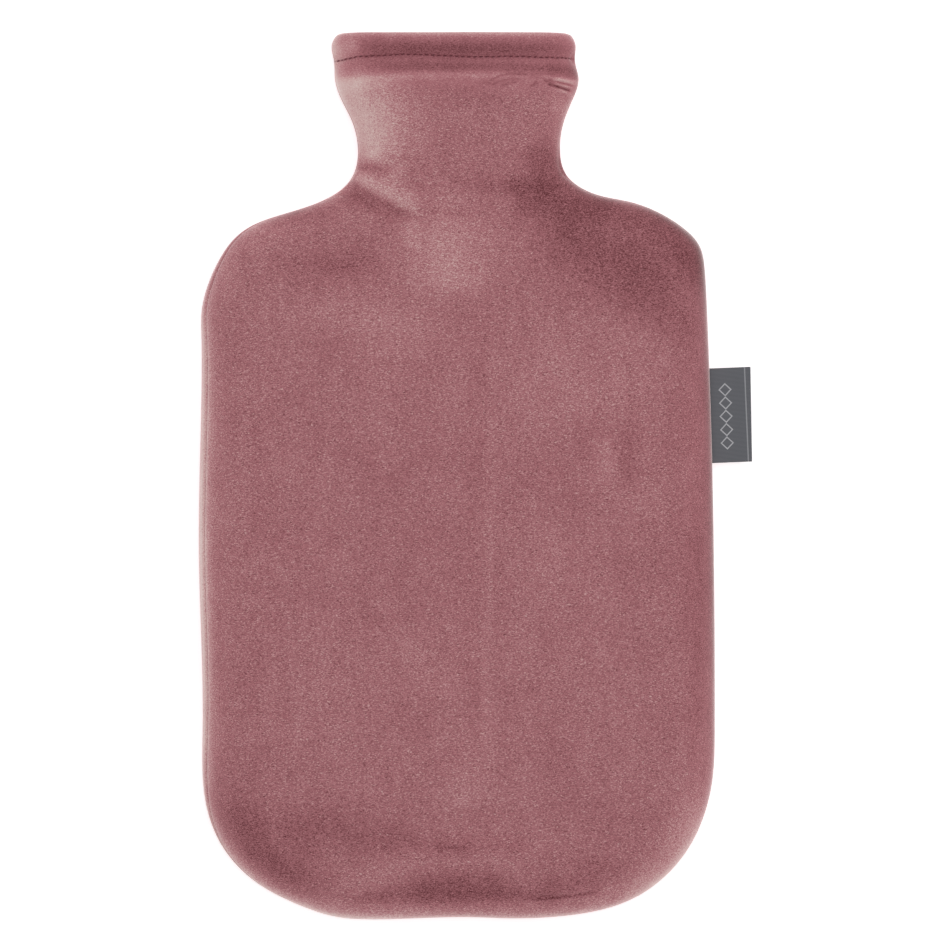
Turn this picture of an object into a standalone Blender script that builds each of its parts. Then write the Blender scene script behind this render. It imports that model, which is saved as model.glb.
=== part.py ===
"""Hot water bottle cover, lying on its back: front up (+Z), neck towards +Y, label to the right (+X).

The origin is on the surface that it lies on, under the middle of the body. Two velour panels, front and back,
are sewn together down both sides and round the bottom, and stay open at the mouth. A folded woven label comes
out of the right side seam. Each panel is one thin sheet, made as rays that start in the seam, run over the
rounded edge and end on the panel's centre line. Sizes are in millimetres.
"""

from collections import namedtuple

import bmesh
import bpy
import numpy as np

MM = 0.001

# Cloth and sewing
CLOTH = 1.6  # velour, pile included
SEAM_GAP = 0.3  # between the turned-in edges of the two panels
ALLOWANCE = 5.0  # cloth turned in at the seam
LIP = 2.2  # length over which the cloth rounds into the seam
CORNER = 0.6  # start of the inner wall above the turned-in cloth
SEAM_HOLD = 4.0  # folds fade out within this distance of the seam
HEM_CLOTH = 3.0  # two layers at the mouth
HEM_DEPTH = 10.0
HEM_END = 2.0  # length over which the hem's second layer ends
HEM_ROUND = 1.5  # height of the rounding at the mouth's edge
HEM_FLAT = 0.2  # share of the hem's thickness left flat on top
STITCH_DEPTH = 0.9
STITCH_WIDTH = 2.2
STITCH_SAG = 2.0  # the stitches run this much lower at the sides than in the middle
HEM_HALF = 47.0  # half the hem's width
SQUARE_MOUTH = 12.0  # rays run straight across down to this depth under the mouth
SQUARE_END = 50.0  # and turn to meet the side squarely over this further depth

# Form
BODY_CROWN = 1.2  # rise of the front's middle above its rounded edge
POLE = -88.0  # height on the centre line where the rays of the round bottom meet
POLE_REACH = 1.0  # a ray that would end this close to the pole ends on it
LEAVE = 0.35  # how far a ray keeps its direction from the rounded edge, as a share of what is left of it
MOUTH = 195.0  # height of the hem's edge above the origin

# Across a panel
LIP_STEPS = 3
ROLL_STEPS = 5
FRONT_STEPS = 8
BACK_STEPS = 5
STEEPEST = 0.95  # the seam stays this share of the rise or depth from the top or the bottom of the edge
NUDGE = 0.01  # step along the widest line that gives its direction
MERGE = 0.01  # points closer than this are one point

# One row for each place down the sides, from the mouth to the bottom.
# left, right: the cover's widest line, seen from the front. centre: where the ray ends on the centre line.
# equator: height of the widest line. front: the front's rise from there. lift: the back's height over the
# surface. roll: width of the rounded edge. seam_left, seam_right: height of the seam over the widest line.
# rays: number of rays from this row to the next.
Station = namedtuple(
    "Station",
    "place left_x left_y right_x right_y centre equator front lift roll seam_left seam_right rays",
)
STATIONS = (
    Station("mouth edge", -46.6, 195.0, 44.4, 195.0, 195.0, 18.5, 13.6, 4.2, 14.0, 1.0, -1.0, 2),
    Station("hem", -48.7, 191.0, 46.4, 191.0, 191.2, 18.5, 14.4, 4.0, 14.5, 1.0, -1.0, 3),
    Station("hem stitch", -47.9, 184.4, 46.2, 184.7, 185.2, 18.5, 14.6, 4.0, 14.5, 1.0, -1.0, 2),
    Station("under the hem", -47.5, 177.5, 47.6, 178.0, 177.5, 18.5, 15.6, 3.6, 15.5, 1.0, -1.5, 2),
    Station("flare", -44.4, 168.1, 44.8, 168.1, 168.0, 18.6, 15.4, 3.6, 15.5, 1.0, -2.0, 2),
    Station("upper neck", -40.5, 160.0, 41.7, 160.0, 159.0, 18.8, 15.0, 3.8, 15.0, 1.0, -2.5, 2),
    Station("throat", -38.5, 149.0, 40.4, 150.5, 148.5, 19.0, 14.6, 3.8, 15.0, 1.0, -3.0, 2),
    Station("neck root", -40.8, 139.2, 42.9, 140.0, 137.5, 19.0, 14.8, 3.2, 15.0, 1.0, -3.0, 2),
    Station("root turn", -47.0, 132.8, 51.6, 133.2, 127.0, 19.0, 15.4, 2.0, 15.0, 1.0, -3.0, 2),
    Station("shoulder top", -62.0, 126.5, 66.5, 129.4, 115.0, 19.0, 16.4, 0.6, 15.5, 1.0, -3.5, 2),
    Station("shoulder", -77.5, 121.4, 81.6, 123.7, 104.0, 19.0, 17.2, 0.0, 15.5, 2.2, -3.5, 2),
    Station("shoulder corner", -89.0, 112.6, 92.6, 115.5, 92.5, 19.0, 17.8, 0.0, 14.0, 6.0, -4.0, 2),
    Station("shoulder side", -96.4, 99.0, 96.8, 103.0, 80.0, 19.0, 18.2, 0.0, 15.0, 7.2, -4.0, 2),
    Station("upper side", -99.4, 80.0, 97.8, 84.0, 67.0, 19.0, 18.4, 0.0, 17.0, 7.2, -4.0, 7),
    Station("middle side", -100.4, 8.0, 100.2, 2.0, 3.0, 19.0, 19.0, 0.0, 19.0, 7.2, -4.0, 7),
    Station("lower side", -98.9, -76.0, 100.7, -76.0, -66.0, 19.0, 19.0, 0.0, 19.0, 7.0, -3.5, 3),
    Station("corner start", -98.6, -102.5, 98.8, -101.5, -82.0, 19.0, 18.6, 0.0, 19.0, 6.0, -2.5, 2),
    Station("corner", -91.8, -121.0, 91.4, -121.0, POLE, 19.0, 18.0, 0.0, 19.0, 4.0, -1.0, 2),
    Station("corner low", -78.0, -135.9, 78.5, -136.0, POLE, 19.0, 17.4, 0.0, 19.0, 2.0, 0.0, 3),
    Station("corner end", -56.0, -146.5, 56.5, -146.6, POLE, 18.8, 16.8, 0.0, 18.5, 0.0, 0.0, 2),
    Station("bottom", -34.0, -149.9, 32.0, -149.5, POLE, 18.6, 16.4, 0.0, 18.0, -1.0, -1.0, 3),
)
BOTTOM = Station("bottom middle", 0.0, -149.2, 0.0, -149.2, POLE, 18.6, 16.4, 0.0, 18.0, -1.0, -1.0, 0)
RING_COLUMNS = ("x", "y", "centre", "equator", "front", "lift", "roll", "seam")

# Soft folds of the front. A ridge is above the cloth round it, a hollow is below it (height under zero).
# bow: how far the fold's middle lies to the left of the straight line from its start to its end.
Fold = namedtuple("Fold", "place start_x start_y end_x end_y bow width height")
FOLDS = (
    Fold("roll under the hem", -46.0, 174.5, 46.0, 174.5, 0.0, 5.0, 0.7),
    Fold("hollow at the left of the throat", -40.0, 143.5, -20.0, 143.0, 0.0, 3.5, -0.9),
    Fold("ridge from the left neck root", -43.0, 138.5, -10.0, 129.0, 1.0, 5.0, 1.3),
    Fold("crease from the left neck root", -45.0, 133.5, -8.0, 122.5, 1.5, 4.5, -1.8),
    Fold("hollow at the right of the throat", 41.0, 137.0, 28.0, 152.0, 0.0, 7.0, -1.5),
    Fold("hollow over the right shoulder", 24.0, 128.0, 84.0, 103.0, -4.0, 12.0, -1.7),
    Fold("hollow over the left shoulder", -66.0, 98.0, -28.0, 109.0, 0.0, 9.0, -1.1),
    Fold("swelling below the neck", -5.0, 122.0, -5.0, 92.0, 0.0, 17.0, 1.6),
    Fold("long fold down the middle", 13.5, 92.0, 9.5, -84.0, 0.0, 6.5, -0.7),
    Fold("cross crease on the right", 12.0, 73.0, 54.0, 75.0, 0.0, 6.0, -0.4),
    Fold("cross crease on the left", -74.0, -4.0, 8.0, -1.0, 0.0, 7.0, -0.4),
    Fold("arch above the bottom", -44.0, -136.0, 56.0, -136.0, 12.0, 5.5, 1.3),
    Fold("hollow under the arch", -38.0, -140.5, 42.0, -140.5, 7.0, 5.0, -1.5),
    Fold("hollow at the left bottom corner", -84.0, -120.0, -62.0, -136.0, 0.0, 6.0, -1.0),
)
FOLD_END_POWER = 6  # the higher, the more sudden a fold's ends

# Label, a tape folded in two with its ends in the seam
LABEL_TAPE = 0.5
LABEL_SPACE = 0.3  # between its two layers
LABEL_CLEAR = 0.3  # between the label and the cloth round it
LABEL_ROOT_X = 94.6
LABEL_FOLD_X = 115.0
LABEL_LOW_Y = 27.4
LABEL_HIGH_Y = 64.4
LABEL_TILT = np.radians(3.0)
LABEL_DROOP = 1.4
LABEL_DROOP_FROM = 0.2  # share of the label's length at its root that stays level
LABEL_SEAM_EASE = 7.0  # the seam closes again over this length past the label
LEG_STEPS = 5
FOLD_STEPS = 4
WIDTH_STEPS = 6

# Colours, linear red, green and blue
DUSTY_ROSE = (0.35, 0.145, 0.165, 1.0)
DARK_GREY = (0.13, 0.135, 0.145, 1.0)
VELOUR_ROUGHNESS = 0.9
TAPE_ROUGHNESS = 0.6


def smooth(knots, values, at):
    """Natural cubic spline through the rows of values, one for each knot, read at the places in at."""
    step = np.diff(knots)[:, None]
    inner = np.arange(1, len(knots) - 1)
    system = np.eye(len(knots))
    system[inner, inner - 1] = step[:-1, 0]
    system[inner, inner] = 2.0 * (step[:-1, 0] + step[1:, 0])
    system[inner, inner + 1] = step[1:, 0]
    pull = np.zeros_like(values)
    pull[1:-1] = 6.0 * np.diff(np.diff(values, axis=0) / step, axis=0)
    bend = np.linalg.solve(system, pull)
    low = np.clip(np.searchsorted(knots, at) - 1, 0, len(knots) - 2)
    before = (at - knots[low])[:, None]
    after = (knots[low + 1] - at)[:, None]
    wide = step[low]
    curved = (bend[low] * after**3 + bend[low + 1] * before**3) / (6.0 * wide)
    first = (values[low] / wide - bend[low] * wide / 6.0) * after
    last = (values[low + 1] / wide - bend[low + 1] * wide / 6.0) * before
    return curved + first + last


def ease(x):
    """Smooth step from 0 to 1 as x goes from 0 to 1."""
    x = np.clip(x, 0.0, 1.0)
    return x * x * (3.0 - 2.0 * x)


def ring_rows(side):
    """The table's rows for the left or the right side, in the order of RING_COLUMNS."""
    names = (side + "_x", side + "_y", "centre", "equator", "front", "lift", "roll", "seam_" + side)
    return np.array([[getattr(station, name) for name in names] for station in STATIONS + (BOTTOM,)])


def rays():
    """The panels' rays, from the mouth down the left side, round the bottom and up the right side.

    Gives a dictionary with an array for each column of the ring, such as the place on the widest line. It
    also has the inward direction in plan, and across, the way to the centre line (1 is to the right).
    """
    left, right = ring_rows("left"), ring_rows("right")
    chords = [np.hypot(*np.diff(side[:, :2], axis=0).T) for side in (left, right)]
    down = np.concatenate([[0.0], np.cumsum((chords[0] + chords[1]) / 2.0)])
    knots = np.concatenate([down, 2.0 * down[-1] - down[-2::-1]])
    ring = np.concatenate([left, right[-2::-1]])
    between = [row + np.arange(station.rays) / station.rays for row, station in enumerate(STATIONS)]
    places = np.concatenate(between + [[len(STATIONS)]])
    at_half = np.interp(places, np.arange(len(left)), down)
    at = np.concatenate([at_half, 2.0 * down[-1] - at_half[-2::-1]])
    ray = dict(zip(RING_COLUMNS, smooth(knots, ring, at).T))
    ahead = smooth(knots, ring[:, :2], np.minimum(at + NUDGE, knots[-1]))
    behind = smooth(knots, ring[:, :2], np.maximum(at - NUDGE, knots[0]))
    run = (ahead - behind) / np.hypot(*(ahead - behind).T)[:, None]
    across = np.where(at < down[-1], 1.0, -1.0)
    squared = ease((MOUTH - SQUARE_MOUTH - ray["y"]) / SQUARE_END)
    inward = np.stack([-run[:, 1] * squared + across * (1.0 - squared), run[:, 0] * squared])
    ray["inward_x"], ray["inward_y"] = inward / np.hypot(*inward)
    ray["across"] = across
    ray["centre"] = np.where(ray["centre"] < POLE + POLE_REACH, POLE, ray["centre"])
    ray["lift"] = np.maximum(ray["lift"], 0.0)
    return ray


def seam_half_gap(x, y):
    """Half the gap between the panels: on the right it opens for the label, and closes past its edges."""
    middle = (LABEL_LOW_Y + LABEL_HIGH_Y) / 2.0
    past = np.abs(y - middle) - (LABEL_HIGH_Y - LABEL_LOW_Y) / 2.0 - LABEL_CLEAR
    for_label = LABEL_TAPE + LABEL_SPACE / 2.0 + LABEL_CLEAR
    near = np.where(x > 0.0, 1.0 - ease(past / LABEL_SEAM_EASE), 0.0)
    return SEAM_GAP / 2.0 + (for_label - SEAM_GAP / 2.0) * near


def fold_height(x, y):
    """Sum of the front's folds: a bell across each fold's bowed line, with soft ends."""
    total = np.zeros_like(x)
    for fold in FOLDS:
        run_x, run_y = fold.end_x - fold.start_x, fold.end_y - fold.start_y
        length = np.hypot(run_x, run_y)
        along = ((x - fold.start_x) * run_x + (y - fold.start_y) * run_y) / length**2
        aside = ((y - fold.start_y) * run_x - (x - fold.start_x) * run_y) / length
        aside = aside - fold.bow * 4.0 * along * (1.0 - along)
        ends = np.exp(-(np.abs(2.0 * along - 1.0) ** FOLD_END_POWER))
        total += fold.height * np.exp(-((aside / fold.width) ** 2)) * ends
    return total


def stitch_groove(x, y):
    """Depth, under zero, of the groove that the row of hem stitches pulls into the cloth."""
    row = MOUTH - HEM_DEPTH + STITCH_SAG * (0.5 - (x / HEM_HALF) ** 2)
    return -STITCH_DEPTH * np.exp(-(((y - row) / STITCH_WIDTH) ** 2))


def rounded_edge(side, flange, past, roll, rise, depth):
    """Part of an ellipse round the edge, from just past the seam to the top (side 1) or the underside (-1).

    flange is the height of the turned-in cloth over the widest line, and past the length left for the lip.
    Gives the columns' inset, height and angle, and the inset of the corner where ellipse and flange meet.
    """
    corner = np.arcsin(np.clip(flange / np.where(flange > 0.0, rise, depth), -STEEPEST, STEEPEST))
    begin = corner + side * past / np.where(corner > 0.0, rise, depth)
    angle = begin + (side * np.pi / 2.0 - begin) * np.linspace(0.0, 1.0, ROLL_STEPS + 1)
    up = np.where(angle > 0.0, rise, depth) * np.sin(angle)
    return roll * (1.0 - np.cos(angle)), up, angle, roll * (1.0 - np.cos(corner))


def lip(corner_in, flange, edge_in, edge_up):
    """Quadratic curve round the seam's corner, from the turned-in cloth to the start of the rounded edge."""
    turn = np.linspace(0.0, 1.0, LIP_STEPS + 1)[:-1]
    first, middle, last = (1.0 - turn) ** 2, 2.0 * turn * (1.0 - turn), turn**2
    lip_in = first * (corner_in + LIP) + middle * corner_in + last * edge_in[:, :1]
    return lip_in, (first + middle) * flange + last * edge_up[:, :1]


def to_centre(ray, steps):
    """Plan of the columns from the rounded edge's end to the centre line, and their shares of the way.

    Each ray is a cubic curve that leaves along its inward direction, and crosses the centre line squarely or
    runs straight to the pole.
    """
    span = np.linspace(0.0, 1.0, steps + 1)[1:]
    start_x = ray["x"] + ray["inward_x"] * ray["roll"]
    start_y = ray["y"] + ray["inward_y"] * ray["roll"]
    reach = np.hypot(start_x, start_y - ray["centre"])
    to_pole = ray["centre"] <= POLE
    end_x = np.where(to_pole, -start_x / reach, ray["across"])
    end_y = np.where(to_pole, (ray["centre"] - start_y) / reach, 0.0)
    keep = (1.0 - span) ** 2 * (1.0 + 2.0 * span)
    leave = LEAVE * reach * span * (1.0 - span) ** 2
    arrive = reach * span**2 * (1.0 - span)
    x = keep * start_x + leave * ray["inward_x"] - arrive * end_x
    y = keep * start_y + (1.0 - keep) * ray["centre"] + leave * ray["inward_y"] - arrive * end_y
    return x, y, span


def centre_levels(ray, side, span):
    """Height of the columns from the rounded edge to the centre line. Rays to the pole meet at one height."""
    level = ray["equator"] + ray["front"] if side > 0 else ray["lift"]
    to_pole = ray["centre"] <= POLE
    at_centre = np.where(to_pole, level[np.argmax(to_pole)], level) + (BODY_CROWN if side > 0 else 0.0)
    return level + (at_centre - level) * ease(span)


def sheet(ray, side):
    """Outer and inner face of the front (side 1) or the back (side -1), as grids of points, rays by columns.

    Columns run from the turned-in edge over the lip and the rounded edge, an ellipse, to the centre line. The
    inner face is a smaller ellipse round the same centre, and follows the outer face's folds.
    """
    ray = {name: value[:, None] for name, value in ray.items()}
    rise, depth = ray["front"], ray["equator"] - ray["lift"]
    hem = 1.0 - ease((MOUTH - HEM_DEPTH - ray["centre"]) / HEM_END)
    wall = CLOTH + (HEM_CLOTH - CLOTH) * hem
    flange = ray["seam"] + side * seam_half_gap(ray["x"], ray["y"])

    edge_in, edge_up, angle, corner_in = rounded_edge(side, flange, LIP, ray["roll"], rise, depth)
    lip_in, lip_up = lip(corner_in, flange, edge_in, edge_up)
    tip_in = corner_in + ALLOWANCE
    outer_in = np.hstack([tip_in, lip_in, edge_in])
    outer_up = np.hstack([flange, lip_up, edge_up])

    behind = flange + side * CLOTH
    smaller = [size - wall for size in (ray["roll"], rise, depth)]
    edge_in, edge_up, _, corner_in = rounded_edge(side, behind, CORNER, *smaller)
    back_of_lip = tip_in + (corner_in + wall - tip_in) * np.linspace(0.0, 1.0, LIP_STEPS + 1)
    inner_in = np.hstack([back_of_lip, edge_in + wall])
    inner_up = np.hstack([behind + 0.0 * back_of_lip, edge_up])

    middle_x, middle_y, span = to_centre(ray, FRONT_STEPS if side > 0 else BACK_STEPS)
    level = centre_levels(ray, side, span)

    def points(inset, up, thick):
        x = np.hstack([ray["x"] + ray["inward_x"] * inset, middle_x])
        y = np.hstack([ray["y"] + ray["inward_y"] * inset, middle_y])
        z = np.hstack([ray["equator"] + up, level - side * thick])
        return np.stack([x, y, z], axis=-1)

    outer, inner = points(outer_in, outer_up, 0.0), points(inner_in, inner_up, wall)
    push = fold_push(ray, side, outer, angle)
    below = np.clip((MOUTH - outer[..., 1:2]) / HEM_ROUND, 0.0, 1.0)
    rounding = (1.0 - HEM_FLAT) / 2.0 * (1.0 - np.sqrt(1.0 - (1.0 - below) ** 2))
    outer, inner = outer + push, inner + push
    return outer + (inner - outer) * rounding, inner + (outer - inner) * rounding


def fold_push(ray, side, outer, angle):
    """How far the hem's groove and the front's folds move each point, outwards; none moves in the seam."""
    height = stitch_groove(outer[..., 0], outer[..., 1])
    if side > 0:
        height = height + fold_height(outer[..., 0], outer[..., 1])
    seam_columns, centre_columns = LIP_STEPS + 1, outer.shape[1] - LIP_STEPS - 1 - angle.shape[1]
    ends = ((0, 0), (seam_columns, centre_columns))
    from_seam = np.pad(np.abs(angle - angle[:, :1]) * ray["roll"], ends)
    from_seam[:, -centre_columns:] = ray["roll"]
    upward, outward = np.pad(np.sin(angle), ends), np.pad(np.cos(angle), ends)
    upward[:, -centre_columns:] = side
    direction = np.stack([-ray["inward_x"] * outward, -ray["inward_y"] * outward, upward], axis=-1)
    return (height * ease(from_seam / SEAM_HOLD))[..., None] * direction


def quads(first, second):
    """Faces between two rows of point numbers."""
    return np.stack([first[:-1], first[1:], second[1:], second[:-1]], axis=-1).reshape(-1, 4)


def solid(name, outer, inner, material, edge_at_end=False):
    """Closed mesh between two grids of points. The last columns meet, or else edge_at_end closes them."""
    top = np.arange(outer.shape[0] * outer.shape[1]).reshape(outer.shape[:2])
    under = top + top.size
    faces = [quads(top[:, i], top[:, i + 1]) for i in range(top.shape[1] - 1)]
    faces += [quads(under[:, i + 1], under[:, i]) for i in range(top.shape[1] - 1)]
    faces += [quads(under[:, 0], top[:, 0]), quads(top[0], under[0]), quads(under[-1], top[-1])]
    if edge_at_end:
        faces.append(quads(top[:, -1], under[:, -1]))
    points = np.concatenate([outer.reshape(-1, 3), inner.reshape(-1, 3)]) * MM
    mesh = bpy.data.meshes.new(name)
    mesh.from_pydata(points.tolist(), [], np.concatenate(faces).tolist())
    shape = bmesh.new()
    shape.from_mesh(mesh)
    bmesh.ops.remove_doubles(shape, verts=shape.verts, dist=MERGE * MM)
    bmesh.ops.recalc_face_normals(shape, faces=shape.faces)
    shape.to_mesh(mesh)
    shape.free()
    mesh.shade_smooth()
    mesh.materials.append(material)
    bpy.context.scene.collection.objects.link(bpy.data.objects.new(name, mesh))


def label_faces(ray):
    """Outer and inner face of the folded tape: out on the lower layer, round the fold, back on the upper."""
    inner_radius = LABEL_SPACE / 2.0
    fold_x = LABEL_FOLD_X - inner_radius - LABEL_TAPE
    leg = np.linspace(LABEL_ROOT_X, fold_x, LEG_STEPS + 1)[:-1]
    turn = np.linspace(-np.pi / 2.0, np.pi / 2.0, FOLD_STEPS + 1)
    path_x = np.concatenate([leg, fold_x + 0.0 * turn, leg[::-1]])
    path_angle = np.concatenate([0.0 * leg - np.pi / 2.0, turn, 0.0 * leg + np.pi / 2.0])
    width = np.linspace(LABEL_LOW_Y, LABEL_HIGH_Y, WIDTH_STEPS + 1)
    right = ray["across"] < 0.0
    seam = np.interp(width, ray["y"][right], (ray["equator"] + ray["seam"])[right])

    def face(radius):
        x = path_x + radius * np.cos(path_angle)
        out = (x - LABEL_ROOT_X) / (LABEL_FOLD_X - LABEL_ROOT_X)
        droop = LABEL_DROOP * ease((out - LABEL_DROOP_FROM) / (1.0 - LABEL_DROOP_FROM)) ** 2
        y = width[None, :] + np.tan(LABEL_TILT) * (x[:, None] - LABEL_ROOT_X)
        z = seam[None, :] + (radius * np.sin(path_angle) - droop)[:, None]
        return np.stack([x[:, None] + 0.0 * y, y, z], axis=-1)

    return face(inner_radius + LABEL_TAPE), face(inner_radius)


def finish(name, colour, roughness):
    """Material with one colour and roughness."""
    material = bpy.data.materials.new(name)
    material.use_nodes = True
    shader = material.node_tree.nodes["Principled BSDF"]
    shader.inputs["Base Color"].default_value = colour
    shader.inputs["Roughness"].default_value = roughness
    shader.inputs["Metallic"].default_value = 0.0
    material.diffuse_color = colour
    return material


def main():
    """Clear the scene and make the three pieces."""
    for leftover in list(bpy.data.objects):
        bpy.data.objects.remove(leftover, do_unlink=True)
    ray = rays()
    solid("front_panel", *sheet(ray, 1), finish("front velour", DUSTY_ROSE, VELOUR_ROUGHNESS))
    solid("back_panel", *sheet(ray, -1), finish("back velour", DUSTY_ROSE, VELOUR_ROUGHNESS))
    woven = finish("woven tape", DARK_GREY, TAPE_ROUGHNESS)
    solid("side_label", *label_faces(ray), woven, edge_at_end=True)


main()
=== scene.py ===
# %% [markdown]
# # A velour cover for a hot water bottle
# The object is a soft bag that is pulled over a rubber hot water bottle, and it lies on its back. Two panels of
# velour, front and back, are sewn together down both sides and round the bottom. The neck stays open and ends in a
# hem held by one row of stitches. A short tape, folded in two, comes out of the right side seam.
# Each step below makes one piece or one finish. It first says what that is on the real cover, how it could be made in
# Blender, and why this way was chosen. All the sizes are in millimetres until a mesh is made.

import bmesh
import bpy
import numpy as np
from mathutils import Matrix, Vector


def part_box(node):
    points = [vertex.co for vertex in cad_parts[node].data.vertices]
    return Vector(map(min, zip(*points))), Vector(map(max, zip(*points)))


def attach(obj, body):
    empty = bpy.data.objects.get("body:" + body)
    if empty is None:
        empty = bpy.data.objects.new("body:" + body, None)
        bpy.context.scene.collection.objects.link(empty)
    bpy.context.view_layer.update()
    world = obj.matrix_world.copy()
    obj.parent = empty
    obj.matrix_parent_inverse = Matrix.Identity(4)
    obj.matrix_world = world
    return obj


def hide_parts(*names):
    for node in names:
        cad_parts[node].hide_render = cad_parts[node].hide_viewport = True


MM = 0.001
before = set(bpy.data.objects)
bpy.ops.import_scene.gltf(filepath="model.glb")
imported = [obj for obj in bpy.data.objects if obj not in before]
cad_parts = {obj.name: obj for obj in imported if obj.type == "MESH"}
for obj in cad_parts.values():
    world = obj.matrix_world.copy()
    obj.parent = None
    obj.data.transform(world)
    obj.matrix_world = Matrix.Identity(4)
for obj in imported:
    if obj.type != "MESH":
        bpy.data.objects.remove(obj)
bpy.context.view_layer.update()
for name in sorted(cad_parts):
    low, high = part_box(name)
    print(name, "spans", [round((b - a) / MM, 1) for a, b in zip(low, high)], "mm")

# %% [markdown]
# ## Camera and picture
# The cover was photographed from straight above with a long lens. A camera could stand close with a wide lens, but
# then the raised middle would look too large. A long lens over 3 m away keeps the outline true, as in a catalogue.
# The picture is 951 pixels wide, and one pixel is 0.39 mm at the height of the cover's widest line.

# %% A long lens straight above
MM_PER_PIXEL = 0.38983
PICTURE = 951
VIEW_X, VIEW_Y, VIEW_Z = 7.4, 22.8, 19.0  # the point in the middle of the picture
LENS, SENSOR = 320.0, 36.0

distance = LENS * PICTURE * MM_PER_PIXEL / SENSOR
camera = bpy.data.cameras.new("long_lens")
camera.lens, camera.sensor_width, camera.clip_end = LENS, SENSOR, 100.0
eye = bpy.data.objects.new("camera", camera)
eye.location = (VIEW_X * MM, VIEW_Y * MM, (VIEW_Z + distance) * MM)
bpy.context.scene.collection.objects.link(eye)
bpy.context.scene.camera = eye
print(f"camera {distance:.0f} mm above the widest line")

# %% [markdown]
# ## Helpers for shapes
# A pattern cutter draws the outline with a few measured places and a smooth curve through them. Blender's own curves
# could do that, but the surfaces below need whole arrays of points, so a short spline in numpy is simpler.
# Soft folds are bells: high along a line, and fading to both sides of it.

# %% Spline, smooth step and bell-shaped folds
from collections import namedtuple


def ease(x):
    """Smooth step: 0 below 0, 1 above 1, and 3x^2 - 2x^3 in between."""
    x = np.clip(x, 0.0, 1.0)
    return x * x * (3.0 - 2.0 * x)


def spline(knots, values, at):
    """Natural cubic spline: one cubic between each two knots, with equal slope and bend where two cubics meet."""
    step = np.diff(knots)[:, None]
    inner = np.arange(1, len(knots) - 1)
    system = np.eye(len(knots))
    system[inner, inner - 1] = step[:-1, 0]
    system[inner, inner] = 2.0 * (step[:-1, 0] + step[1:, 0])
    system[inner, inner + 1] = step[1:, 0]
    pull = np.zeros_like(values)
    pull[1:-1] = 6.0 * np.diff(np.diff(values, axis=0) / step, axis=0)
    bend = np.linalg.solve(system, pull)
    low = np.clip(np.searchsorted(knots, at) - 1, 0, len(knots) - 2)
    before, after, wide = (at - knots[low])[:, None], (knots[low + 1] - at)[:, None], step[low]
    curved = (bend[low] * after**3 + bend[low + 1] * before**3) / (6.0 * wide)
    first = (values[low] / wide - bend[low] * wide / 6.0) * after
    return curved + first + (values[low + 1] / wide - bend[low + 1] * wide / 6.0) * before


Fold = namedtuple("Fold", "place start_x start_y end_x end_y bow width height")
END_POWER = 6  # the higher, the more sudden a fold's ends


def bells(x, y, folds):
    """Sum over the folds of height * exp(-(distance from the line / width)^2 - |2t - 1|^6), t from 0 to 1 along it.

    The line is bowed: its middle lies to the left of the straight way from start to end by the fold's bow.
    """
    total = np.zeros_like(x)
    for fold in folds:
        run_x, run_y = fold.end_x - fold.start_x, fold.end_y - fold.start_y
        length = np.hypot(run_x, run_y)
        along = ((x - fold.start_x) * run_x + (y - fold.start_y) * run_y) / length**2
        aside = ((y - fold.start_y) * run_x - (x - fold.start_x) * run_y) / length
        aside = aside - fold.bow * 4.0 * along * (1.0 - along)
        total += fold.height * np.exp(-((aside / fold.width) ** 2) - np.abs(2.0 * along - 1.0) ** END_POWER)
    return total


beside = bells(np.array([0.0]), np.array([2.0]), [Fold("try", -9, 0, 9, 0, 0, 3, 1)])[0]
print("a fold 1 mm high and 3 mm wide is", round(float(beside), 2), "mm high 2 mm to its side")

# %% [markdown]
# ## The outline, as rays
# Both panels are sewn along one line that runs from the mouth down the left side, round the bottom and up the right
# side. A grid of squares laid over the cover would cut this line into stairs. So the cloth is made of rays instead:
# each starts in the seam, rolls over the rounded edge and ends on the panel's centre line. The grid then follows the
# seam exactly, and a column of the grid is a line at one distance from the edge.
# The table has one row for each measured place down the sides. Its last column says how many rays follow before
# the next row: many near the hem, where the stitches need a fine grid.

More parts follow.
